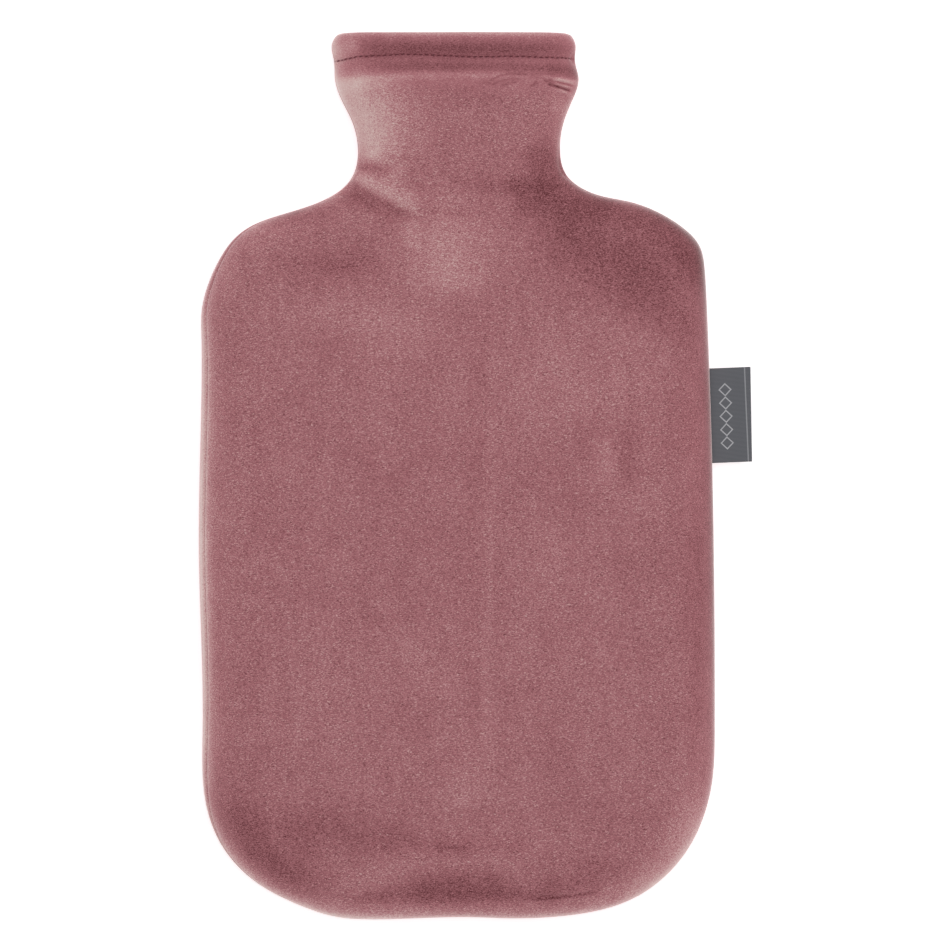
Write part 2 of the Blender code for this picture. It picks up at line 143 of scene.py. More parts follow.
# %% Measured places down the sides
# centre: where a ray from here meets the centre line. equator: height of the cover's widest line. front: rise from
# there to the top. lift: height of the back over the table. roll: width of the rounded edge. seam: height of the seam
# over the widest line.
Place = namedtuple(
    "Place", "name left_x left_y right_x right_y centre equator front lift roll seam_left seam_right rays"
)
PLACES = (
    Place("mouth edge", -46.6, 195.0, 44.4, 195.0, 195.0, 18.5, 13.6, 4.2, 14.0, 1.0, -1.0, 8),
    Place("hem", -48.7, 191.0, 46.4, 191.0, 191.2, 18.5, 14.4, 4.0, 14.5, 1.0, -1.0, 14),
    Place("hem stitch", -47.9, 184.4, 46.2, 184.7, 185.2, 18.5, 14.6, 4.0, 14.5, 1.0, -1.0, 14),
    Place("under the hem", -47.5, 177.5, 47.6, 178.0, 177.5, 18.5, 15.6, 3.6, 15.5, 1.0, -1.5, 24),
    Place("flare", -44.4, 168.1, 44.8, 168.1, 168.0, 18.6, 15.4, 3.6, 15.5, 1.0, -2.0, 10),
    Place("upper neck", -40.5, 160.0, 41.7, 160.0, 159.0, 18.8, 15.0, 3.8, 15.0, 1.0, -2.5, 12),
    Place("throat", -38.5, 149.0, 40.4, 150.5, 148.5, 19.0, 14.6, 3.8, 15.0, 1.0, -3.0, 12),
    Place("neck root", -40.8, 139.2, 42.9, 140.0, 137.5, 19.0, 14.8, 3.2, 15.0, 1.0, -3.0, 10),
    Place("root turn", -47.0, 132.9, 51.6, 133.5, 127.0, 19.0, 15.4, 2.0, 15.0, 1.0, -3.0, 16),
    Place("shoulder top", -62.0, 126.5, 66.5, 129.8, 115.0, 19.0, 16.4, 0.6, 15.5, 1.0, -3.5, 16),
    Place("shoulder", -77.5, 121.3, 81.6, 123.9, 104.0, 19.0, 17.2, 0.0, 15.5, 2.2, -3.5, 14),
    Place("shoulder corner", -88.8, 112.7, 92.6, 115.5, 92.5, 19.0, 17.8, 0.0, 14.0, 6.0, -4.0, 14),
    Place("shoulder side", -98.3, 92.8, 96.8, 103.0, 80.0, 19.0, 18.2, 0.0, 15.0, 8.0, -4.0, 16),
    Place("upper side", -99.5, 78.0, 97.8, 84.0, 67.0, 19.0, 18.4, 0.0, 17.0, 8.3, -4.0, 50),
    Place("middle side", -100.5, -4.0, 100.2, 2.0, 3.0, 19.0, 19.0, 0.0, 19.0, 8.6, -4.0, 54),
    Place("lower side", -99.0, -76.0, 100.7, -76.0, -66.0, 19.0, 19.0, 0.0, 19.0, 8.0, -3.5, 20),
    Place("corner start", -98.2, -102.5, 98.8, -101.5, -82.0, 19.0, 18.6, 0.0, 19.0, 6.5, -2.5, 14),
    Place("corner", -91.8, -121.0, 91.4, -121.0, -88.0, 19.0, 18.0, 0.0, 19.0, 4.0, -1.0, 14),
    Place("corner low", -78.0, -135.9, 78.5, -136.0, -88.0, 19.0, 17.4, 0.0, 19.0, 2.0, 0.0, 16),
    Place("corner end", -56.0, -146.8, 56.5, -146.6, -88.0, 18.8, 16.8, 0.0, 18.5, 0.0, 0.0, 14),
    Place("bottom", -40.0, -150.1, 32.0, -149.7, -88.0, 18.6, 16.4, 0.0, 18.0, -1.0, -1.0, 22),
    Place("bottom middle", 0.0, -149.4, 0.0, -149.4, -88.0, 18.6, 16.4, 0.0, 18.0, -1.0, -1.0, 0),
)
POLE, POLE_REACH = -88.0, 1.0  # rays of the round bottom meet in one point on the centre line
MOUTH, HEM_DEPTH, HEM_END = 195.0, 10.0, 2.0  # the hem's edge, its depth, and how soon its second layer ends
SQUARE_MOUTH, SQUARE_END = 12.0, 50.0  # rays run straight across down to here, and turn over this depth
NUDGE = 0.01  # step along the outline that gives its direction


def seam_rays():
    """Rays round the cover: the table's rows, with a spline through them, read at the places of the rays.

    A ray points inwards, square to the outline. At the mouth it runs straight across instead.
    """

    def rows(side):
        names = (side + "_x", side + "_y", "centre", "equator", "front", "lift", "roll", "seam_" + side)
        return np.array([[getattr(place, name) for name in names] for place in PLACES])

    left, right = rows("left"), rows("right")
    chords = [np.hypot(*np.diff(side[:, :2], axis=0).T) for side in (left, right)]
    down = np.concatenate([[0.0], np.cumsum((chords[0] + chords[1]) / 2.0)])
    knots = np.concatenate([down, 2.0 * down[-1] - down[-2::-1]])
    ring = np.concatenate([left, right[-2::-1]])
    between = [row + np.arange(place.rays) / place.rays for row, place in enumerate(PLACES) if place.rays]
    half = np.interp(np.concatenate(between + [[len(PLACES) - 1]]), np.arange(len(left)), down)
    at = np.concatenate([half, 2.0 * down[-1] - half[-2::-1]])
    names = ("x", "y", "centre", "equator", "front", "lift", "roll", "seam")
    ray = dict(zip(names, spline(knots, ring, at).T))
    run = spline(knots, ring[:, :2], np.minimum(at + NUDGE, knots[-1]))
    run = run - spline(knots, ring[:, :2], np.maximum(at - NUDGE, knots[0]))
    run = run / np.hypot(*run.T)[:, None]
    across = np.where(at < down[-1], 1.0, -1.0)
    squared = ease((MOUTH - SQUARE_MOUTH - ray["y"]) / SQUARE_END)
    inward = np.stack([-run[:, 1] * squared + across * (1.0 - squared), run[:, 0] * squared])
    ray["in_x"], ray["in_y"] = inward / np.hypot(*inward)
    ray["across"] = across
    ray["centre"] = np.where(ray["centre"] < POLE + POLE_REACH, POLE, ray["centre"])
    ray["lift"] = np.maximum(ray["lift"], 0.0)
    return ray


RAY = seam_rays()
print(len(RAY["x"]), "rays round the seam")

# %% [markdown]
# ## Folds and creases
# The cloth is pulled over a round bottle, so it swells in the middle and creases where it has to turn: at the foot of
# the neck, over the shoulders and above the bottom seam. A cloth simulation would put creases somewhere, but not
# where this cover has them. So each one is placed as a soft ridge or hollow along a line.
# The first table has the large folds, which the solid has too, some of them a few millimetres away. The second has the
# small sharp creases. Waves of a few sizes, each under a quarter of a millimetre, keep the rest from looking ironed.

# %% Tables of folds
FOLDS = (
    Fold("roll under the hem", -46.0, 174.5, 46.0, 174.5, 0.0, 5.0, 0.7),
    Fold("hollow at the left of the throat", -40.0, 143.5, -20.0, 143.0, 0.0, 3.5, -0.9),
    Fold("ridge from the left neck root", -42.0, 141.0, -13.0, 127.0, -0.5, 4.5, 1.3),
    Fold("crease from the left neck root", -46.0, 135.5, -18.0, 123.0, -1.0, 3.8, -1.7),
    Fold("hollow at the right of the throat", 41.0, 137.0, 28.0, 152.0, 0.0, 7.0, -1.5),
    Fold("hollow over the right shoulder", 26.0, 129.0, 86.0, 104.0, -3.0, 12.0, -1.5),
    Fold("hollow over the left shoulder", -66.0, 98.0, -28.0, 109.0, 0.0, 9.0, -1.1),
    Fold("swelling below the neck", -5.0, 122.0, -5.0, 92.0, 0.0, 17.0, 1.6),
    Fold("long fold down the middle", 13.5, 92.0, 9.5, -84.0, 0.0, 6.5, -0.7),
    Fold("cross crease on the right", 12.0, 73.0, 54.0, 75.0, 0.0, 6.0, -0.4),
    Fold("cross crease on the left", -74.0, -4.0, 8.0, -1.0, 0.0, 7.0, -0.4),
    Fold("arch above the bottom", -44.0, -136.0, 56.0, -136.0, 12.0, 5.5, 1.3),
    Fold("hollow under the arch", -38.0, -141.5, 42.0, -141.5, 4.0, 5.0, -1.4),
    Fold("hollow at the left bottom corner", -84.0, -120.0, -62.0, -136.0, 0.0, 6.0, -1.0),
)
CREASES = (
    Fold("main pinch at the right of the neck", 35.4, 174.7, 39.8, 173.8, 0.0, 0.5, -0.9),
    Fold("main pinch, down to the seam", 38.6, 174.0, 44.2, 172.4, 0.0, 0.5, -1.2),
    Fold("upper pinch, start", 34.0, 176.2, 38.0, 175.4, 0.0, 0.5, -0.5),
    Fold("upper pinch, end", 38.2, 175.7, 45.4, 174.3, 0.1, 0.45, -0.8),
    Fold("ridge between the pinches", 38.0, 174.8, 44.5, 173.5, 0.0, 0.45, 0.5),
    Fold("pale ridge over the pinches", 38.2, 176.7, 46.5, 175.0, 0.2, 1.0, 0.9),
    Fold("long ridge over the pinches", 33.0, 177.9, 39.0, 176.6, 0.2, 0.6, 0.4),
    Fold("ridge under the main pinch", 39.0, 172.6, 44.0, 171.0, 0.0, 0.7, 0.45),
    Fold("fan of the pinch, high", 12.0, 175.7, 28.6, 178.0, 1.5, 0.5, -0.45),
    Fold("fan of the pinch, middle", 15.0, 175.0, 26.0, 176.2, 1.0, 0.5, -0.42),
    Fold("fan of the pinch, low", 17.0, 173.7, 23.5, 175.4, 0.5, 0.5, -0.4),
    Fold("fan of the pinch, left", 8.6, 174.9, 15.8, 175.0, 0.0, 0.5, -0.3),
    Fold("fan of the pinch, slanting", 28.6, 173.5, 31.4, 175.7, 0.0, 0.6, -0.42),
    Fold("short crease at the left of the throat", -38.5, 142.0, -25.0, 141.6, 0.3, 0.9, -0.4),
    Fold("sharp foot of the left ridge", -41.5, 137.6, -14.0, 122.0, -1.2, 1.1, -0.4),
    Fold("small dent on the left of the neck", -34.6, 150.4, -31.8, 150.0, 0.0, 0.7, -0.4),
    Fold("crease at the foot of the throat", -14.0, 126.0, 8.0, 124.5, -0.6, 1.6, -0.2),
    Fold("bottom crease on the left", -48.5, -140.0, -37.5, -140.9, 0.0, 0.6, -0.35),
    Fold("bottom crease on the right", 28.0, -141.3, 55.0, -138.5, -0.9, 0.6, -0.7),
    Fold("crease above the arch", -7.5, -121.3, 5.0, -121.8, -0.2, 0.6, -0.4),
    Fold("crease on the left shoulder", -67.0, 105.2, -34.0, 103.0, 0.5, 2.5, -0.12),
    Fold("faint slanting crease", -88.0, -19.0, -50.0, -26.0, 1.0, 3.5, -0.12),
    Fold("soft ridge on the right", 57.0, 36.0, 58.0, 20.0, 0.0, 4.5, 0.22),
    Fold("faint crease on the right shoulder", 30.0, 112.0, 66.0, 95.0, -2.0, 3.0, -0.1),
)
Wave = namedtuple("Wave", "length turn height phase")
CLIMB = 0.7  # how far a wave runs on for each millimetre of height, so that it slants round the sides
WAVES = (
    Wave(47.0, 20.0, 0.22, 0.4),
    Wave(33.0, 105.0, 0.18, 2.1),
    Wave(23.0, 60.0, 0.12, 4.0),
    Wave(14.0, 150.0, 0.04, 1.2),
    Wave(9.5, 35.0, 0.025, 5.1),
    Wave(7.1, 82.0, 0.02, 3.3),
)


def unevenness(x, y, z):
    """Sum of plane waves: height * sin(2 pi (distance along the wave's direction) / length + phase)."""
    total = np.zeros_like(x)
    for wave in WAVES:
        turn = np.radians(wave.turn)
        along = x * np.cos(turn) + y * np.sin(turn) + CLIMB * z
        total += wave.height * np.sin(2.0 * np.pi * along / wave.length + wave.phase)
    return total


print(len(FOLDS), "folds,", len(CREASES), "creases,", len(WAVES), "waves")

# %% [markdown]
# ## The hem
# The mouth's edge is turned in by 10 mm and held by one row of stitches, 2.4 mm long each. The row pulls a groove into
# the pile, and each stitch a small dent. A dark line painted on the cloth would look flat from the side, so the groove
# is pressed into the surface and the stitches are laid in it later as thread of their own. The velour's colour adds a
# dark line along the row as well: pile squeezed shut by the thread, and painted shade in the groove.

# %% The row of stitches and its groove
STITCH = 2.4  # length of one stitch
GROOVE_WIDE, GROOVE_DEEP = 2.2, 0.8  # the hollow that the row pulls into the pile
SLOT_WIDE, SLOT_DEEP = 0.65, 0.6  # the thin slot in it that the thread lies in
DENT = 0.25  # half the share of the slot's depth that comes and goes with each stitch
# Measured places of the row, across and up.
ROW = np.array(
    [(-49.0, 183.9), (-43.0, 184.6), (-39.4, 185.3), (-33.0, 185.7), (-20.7, 186.3), (-8.0, 186.0), (4.7, 185.4),
     (17.0, 185.4), (28.0, 185.4), (35.0, 185.1), (41.6, 185.15), (47.0, 184.9)]
)


def stitch_row(x):
    """Height of the row over the cover's width: a spline through measured places, highest left of the middle."""
    inside = np.clip(x, ROW[0, 0], ROW[-1, 0])
    return spline(ROW[:, 0], ROW[:, 1:], np.ravel(inside)).reshape(np.shape(inside))


def stitch_groove(x, y):
    """A wide shallow bell and a narrow deeper one along the row, with dents between the stitches' ends."""
    off = y - stitch_row(x)
    dent = 1.0 - DENT + DENT * np.cos(2.0 * np.pi * x / STITCH)
    return -GROOVE_DEEP * np.exp(-((off / GROOVE_WIDE) ** 2)) - SLOT_DEEP * dent * np.exp(-((off / SLOT_WIDE) ** 2))


print("the row lies", round(float(MOUTH - stitch_row(np.float64(0.0))), 1), "mm under the mouth's edge")

# %% [markdown]
# ## One panel of cloth
# A panel is a single sheet of velour, 1.6 mm thick with its pile. Its outer face starts at the turned-in edge, goes
# round a small lip into the seam, over the rounded side, which is part of an ellipse, and across to the centre line.
# The inner face is a smaller ellipse in the same place. A Solidify modifier on one surface would make the same
# thickness everywhere, but the hem has two layers and the seam's corner is tight, so both faces are worked out.
# Folds push the cloth along the direction that the ellipse faces, and fade out in the seam, where thread holds it.

# %% Outer and inner face of a panel
CLOTH, HEM_CLOTH = 1.6, 3.0  # one layer with its pile, and the hem's two layers pressed together
SEAM_GAP = 0.12  # between the two turned-in edges
ALLOWANCE, SEAM_HOLD = 5.0, 4.0  # width of the turned-in edge, and how far out the seam holds the cloth still
LIP, CORNER = 2.2, 0.6  # rounding of the outer and of the inner face where they turn into the seam
# The seam's finish here is the painted sheen and shade along the seam.
LIP_DEEP = 5.0  # distance counted for the hidden side of the lip, so that the seam's finish fades there
HEM_ROUND, HEM_FLAT = 1.5, 0.2  # depth of the rounding at the mouth's edge, and the share that stays flat
BODY_CROWN = 1.2  # the middle of the body stands this much over its rounded side
LEAVE, STEEPEST = 0.35, 0.95  # how straight a ray leaves the side, and the highest sine in the seam's corner
FAR = 99.0  # a distance where nothing of the seam is left
EVEN, UNEVEN = 1.0, 6.0  # the back has no waves up to this height over the table, and they grow over this rise
LIP_STEPS, ROLL_STEPS, MIDDLE_STEPS = 6, 31, 62  # columns of the front's grid
BACK_ROLL_STEPS, BACK_MIDDLE_STEPS = 21, 36  # the back lies on the table, so fewer will do
TAPE, TAPE_SPACE, TAPE_CLEAR = 0.5, 0.3, 0.1  # thickness of the label's tape, gap in its fold, and play in the seam
TAPE_LOW, TAPE_HIGH, SEAM_EASE = 27.4, 64.4, 7.0  # the label's two edges, and how far past them the seam closes again


def seam_half_gap(x, y):
    """Half the gap in the seam: next to nothing, and on the right wide enough for the folded tape."""
    past = np.abs(y - (TAPE_LOW + TAPE_HIGH) / 2.0) - (TAPE_HIGH - TAPE_LOW) / 2.0 - TAPE_CLEAR
    near = np.where(x > 0.0, 1.0 - ease(past / SEAM_EASE), 0.0)
    return SEAM_GAP / 2.0 + (TAPE + TAPE_SPACE / 2.0 + TAPE_CLEAR - SEAM_GAP / 2.0) * near


def rounded_side(side, flange, past, roll, rise, depth, steps):
    """Ellipse round the side: inset = roll (1 - cos a), height = rise sin a, from the seam to the top or the back."""
    corner = np.arcsin(np.clip(flange / np.where(flange > 0.0, rise, depth), -STEEPEST, STEEPEST))
    begin = corner + side * past / np.where(corner > 0.0, rise, depth)
    angle = begin + (side * np.pi / 2.0 - begin) * np.linspace(0.0, 1.0, steps + 1)
    up = np.where(angle > 0.0, rise, depth) * np.sin(angle)
    return roll * (1.0 - np.cos(angle)), up, angle, roll * (1.0 - np.cos(corner))


def to_centre(ray, steps):
    """Cubic curves in plan, from the rounded side's end to the centre line, crossing it squarely."""
    span = np.linspace(0.0, 1.0, steps + 1)[1:]
    start_x, start_y = ray["x"] + ray["in_x"] * ray["roll"], ray["y"] + ray["in_y"] * ray["roll"]
    reach = np.hypot(start_x, start_y - ray["centre"])
    to_pole = ray["centre"] <= POLE
    end_x = np.where(to_pole, -start_x / reach, ray["across"])
    end_y = np.where(to_pole, (ray["centre"] - start_y) / reach, 0.0)
    keep = (1.0 - span) ** 2 * (1.0 + 2.0 * span)
    leave, arrive = LEAVE * reach * span * (1.0 - span) ** 2, reach * span**2 * (1.0 - span)
    x = keep * start_x + leave * ray["in_x"] - arrive * end_x
    y = keep * start_y + (1.0 - keep) * ray["centre"] + leave * ray["in_y"] - arrive * end_y
    return x, y, span


def panel(side, roll_steps, middle_steps):
    """Outer and inner face of the front (side 1) or the back (side -1), as grids of points, rays by columns.

    The third grid is each point's distance from the seam: in plan on the front, and along the cloth on the back.
    """
    ray = {name: value[:, None] for name, value in RAY.items()}
    rise, depth = ray["front"], ray["equator"] - ray["lift"]
    wall = CLOTH + (HEM_CLOTH - CLOTH) * (1.0 - ease((MOUTH - HEM_DEPTH - ray["centre"]) / HEM_END))
    flange = ray["seam"] + side * seam_half_gap(ray["x"], ray["y"])

    edge_in, edge_up, angle, corner_in = rounded_side(side, flange, LIP, ray["roll"], rise, depth, roll_steps)
    turn = np.linspace(0.0, 1.0, LIP_STEPS + 1)[:-1]
    first, middle, last = (1.0 - turn) ** 2, 2.0 * turn * (1.0 - turn), turn**2
    lip_in = first * (corner_in + LIP) + middle * corner_in + last * edge_in[:, :1]
    lip_up = (first + middle) * flange + last * edge_up[:, :1]
    tip_in = corner_in + ALLOWANCE
    outer_in, outer_up = np.hstack([tip_in, lip_in, edge_in]), np.hstack([flange, lip_up, edge_up])
    away = edge_in - corner_in if side > 0 else np.abs(angle - angle[:, :1]) * ray["roll"]
    in_lip = LIP_DEEP * np.broadcast_to(1.0 - turn, lip_in.shape)
    away = np.hstack([LIP_DEEP + 0.0 * tip_in, in_lip, away, np.full((len(away), middle_steps), FAR)])

    behind = flange + side * CLOTH
    smaller = [size - wall for size in (ray["roll"], rise, depth)]
    edge_in, edge_up, _, corner_in = rounded_side(side, behind, CORNER, *smaller, roll_steps)
    back_of_lip = tip_in + (corner_in + wall - tip_in) * np.linspace(0.0, 1.0, LIP_STEPS + 1)
    inner_in = np.hstack([back_of_lip, edge_in + wall])
    inner_up = np.hstack([behind + 0.0 * back_of_lip, edge_up])

    middle_x, middle_y, span = to_centre(ray, middle_steps)
    level = ray["equator"] + ray["front"] if side > 0 else ray["lift"]
    to_pole = ray["centre"] <= POLE
    crown = BODY_CROWN if side > 0 else 0.0
    level = level + (np.where(to_pole, level[np.argmax(to_pole)], level) + crown - level) * ease(span)

    def points(inset, up, thick):
        x = np.hstack([ray["x"] + ray["in_x"] * inset, middle_x])
        y = np.hstack([ray["y"] + ray["in_y"] * inset, middle_y])
        return np.stack([x, y, np.hstack([ray["equator"] + up, level - side * thick])], axis=-1)

    outer, inner = points(outer_in, outer_up, 0.0), points(inner_in, inner_up, wall)
    push = cloth_push(ray, side, outer, angle)
    below = np.clip((MOUTH - outer[..., 1:2]) / HEM_ROUND, 0.0, 1.0)
    rounding = (1.0 - HEM_FLAT) / 2.0 * (1.0 - np.sqrt(1.0 - (1.0 - below) ** 2))
    outer, inner = outer + push, inner + push
    return outer + (inner - outer) * rounding, inner + (outer - inner) * rounding, away


def cloth_push(ray, side, outer, angle):
    """Folds, creases, waves and the hem's groove, along the way that the ellipse faces, times a step from the seam."""
    x, y, z = outer[..., 0], outer[..., 1], outer[..., 2]
    height = stitch_groove(x, y)
    if side > 0:
        height = height + bells(x, y, FOLDS) + bells(x, y, CREASES)
    seam_columns, centre_columns = LIP_STEPS + 1, outer.shape[1] - LIP_STEPS - 1 - angle.shape[1]
    ends = ((0, 0), (seam_columns, centre_columns))
    from_seam = np.pad(np.abs(angle - angle[:, :1]) * ray["roll"], ends)
    from_seam[:, -centre_columns:] = ray["roll"]
    upward, outward = np.pad(np.sin(angle), ends), np.pad(np.cos(angle), ends)
    upward[:, -centre_columns:] = side
    height = height + unevenness(x, y, z) * (upward**2 if side > 0 else ease((z - EVEN) / UNEVEN) * upward**2)
    direction = np.stack([-ray["in_x"] * outward, -ray["in_y"] * outward, upward], axis=-1)
    return (height * ease(from_seam / SEAM_HOLD))[..., None] * direction


front_outer, front_inner, front_away = panel(1, ROLL_STEPS, MIDDLE_STEPS)
back_outer, back_inner, back_away = panel(-1, BACK_ROLL_STEPS, BACK_MIDDLE_STEPS)
print("front", front_outer.shape[:2], "points, back", back_outer.shape[:2], "points")

# %% [markdown]
# ## From grids to closed meshes
# A maker's panel has an outer face, an inner face and cut edges between them. The outer face shows every crease, so
# it keeps the whole grid. The inner face is seen only through the mouth, so it keeps every second ray and column.
# Along the cut edges two fine squares meet one coarse square, and three triangles join them.

# %% Mesh makers
WELD = 0.003  # points closer than this are one point, such as the rays' ends on the centre line


def quads(first, second):
    """Faces between two rows of point numbers: (i, i+1) on the first row and (i+1, i) on the second."""
    return np.stack([first[:-1], first[1:], second[1:], second[:-1]], axis=-1).reshape(-1, 4)


def joins(fine, coarse):
    """Triangles between a row of 2n+1 points and a row of n+1: three for each coarse step."""
    low, mid, high, a, b = fine[:-1:2], fine[1::2], fine[2::2], coarse[:-1], coarse[1:]
    return np.concatenate([np.stack(t, axis=-1) for t in ((low, mid, a), (mid, b, a), (mid, high, b))])


def make_mesh(name, points, parts, slots, **values):
    """Object with one mesh. parts is a list of (faces, number of the material), values are stored on the points."""
    mesh = bpy.data.meshes.new(name)
    faces = [face for part, _ in parts for face in part.tolist()]
    mesh.from_pydata((points * MM).tolist(), [], faces)
    for attribute, value in values.items():
        mesh.attributes.new(attribute, "FLOAT", "POINT").data.foreach_set("value", value.astype(np.float32))
    mesh.polygons.foreach_set("material_index", np.concatenate([np.full(len(part), slot) for part, slot in parts]))
    shape = bmesh.new()
    shape.from_mesh(mesh)
    bmesh.ops.remove_doubles(shape, verts=shape.verts, dist=WELD * MM)
    bmesh.ops.recalc_face_normals(shape, faces=shape.faces)
    print(name, len(shape.verts), "points,", sum(len(f.verts) - 2 for f in shape.faces), "triangles,",
          sum(len(e.link_faces) != 2 for e in shape.edges), "open edges")
    shape.to_mesh(mesh)
    shape.free()
    mesh.shade_smooth()
    for material in slots:
        mesh.materials.append(material)
    piece = bpy.data.objects.new(name, mesh)
    bpy.context.scene.collection.objects.link(piece)
    return piece


def cloth_piece(name, outer, inner, slots, nap):
    """Closed sheet: outer grid, inner grid with every second ray and column, and the cut edges between them.

    The first stored value says how pale or dark the pile is, by brushing and by painted light and shade, and "row" how
    many mm a point lies over the stitches in plan.
    """
    inner = inner[::2, ::2]
    top = np.arange(outer.shape[0] * outer.shape[1]).reshape(outer.shape[:2])
    under = top.size + np.arange(inner.shape[0] * inner.shape[1]).reshape(inner.shape[:2])
    pile = [quads(top[:, i], top[:, i + 1]) for i in range(top.shape[1] - 1)]
    edges = [joins(top[:, 0], under[:, 0]), joins(top[0], under[0]), joins(top[-1], under[-1])]
    inside = np.concatenate([quads(under[:, i + 1], under[:, i]) for i in range(under.shape[1] - 1)])
    points = np.concatenate([outer.reshape(-1, 3), inner.reshape(-1, 3)])
    hem = points[inside, 1].mean(axis=1) > MOUTH - HEM_DEPTH - HEM_END
    parts = [(part, 0) for part in pile + edges] + [(inside[hem], 0), (inside[~hem], 1)]
    nap = np.concatenate([nap.ravel(), np.zeros(under.size)])
    return make_mesh(name, points, parts, slots, nap=nap, row=points[:, 1] - stitch_row(points[:, 0]))


def linear(code):
    """sRGB hex to linear colour: c / 12.92 under 0.04045, and ((c + 0.055) / 1.055)^2.4 above."""
    c = np.array([int(code[i : i + 2], 16) for i in (1, 3, 5)]) / 255.0
    return (*np.where(c < 0.04045, c / 12.92, ((c + 0.055) / 1.055) ** 2.4).tolist(), 1.0)


print("hex #808080 is", round(linear("#808080")[0], 3), "in linear light")

# %% [markdown]
# ## Helpers for materials
# A material in Blender is a tree of nodes. It could be drawn by hand in the editor, but code that adds one node with
# its settings and links, and is used again and again, is short and can be read from top to bottom.

# %% A node, a material and a colour ramp
def node(tree, kind, settings=None):
    """Adds a node. A setting is a property or an input, by name or number: a value, or a (node, output) to link."""
    made = tree.nodes.new(kind)
    for name, value in (settings or {}).items():
        if isinstance(name, str) and name not in made.inputs:
            setattr(made, name, value)
        elif isinstance(value, tuple) and isinstance(value[0], bpy.types.Node):
            source, output = value
            tree.links.new(source.outputs[output], made.inputs[name])
        else:
            made.inputs[name].default_value = value
    return made


def material(name, settings):
    """Principled BSDF material with its constant values set on the shader's own sockets."""
    made = bpy.data.materials.new(name)
    made.use_nodes = True
    shader = made.node_tree.nodes["Principled BSDF"]
    for socket, value in settings.items():
        shader.inputs[socket].default_value = value
    return made, made.node_tree, shader


def stops(ramp, *places):
    """Sets a colour ramp's stops from (place, hex colour)."""
    while len(ramp.color_ramp.elements) < len(places):
        ramp.color_ramp.elements.new(0.5)
    for element, (place, code) in zip(ramp.color_ramp.elements, places):
        element.position, element.color = place, linear(code)


MATH, NOISE, RAMP, RANGE = "ShaderNodeMath", "ShaderNodeTexNoise", "ShaderNodeValToRGB", "ShaderNodeMapRange"
SHARE, FIRST, SECOND, MIXED = 0, 6, 7, 2  # numbers of a Mix node's sockets for two colours, and of its outcome
print("short names for the kinds of node used most:", MATH, NOISE, RAMP, RANGE)
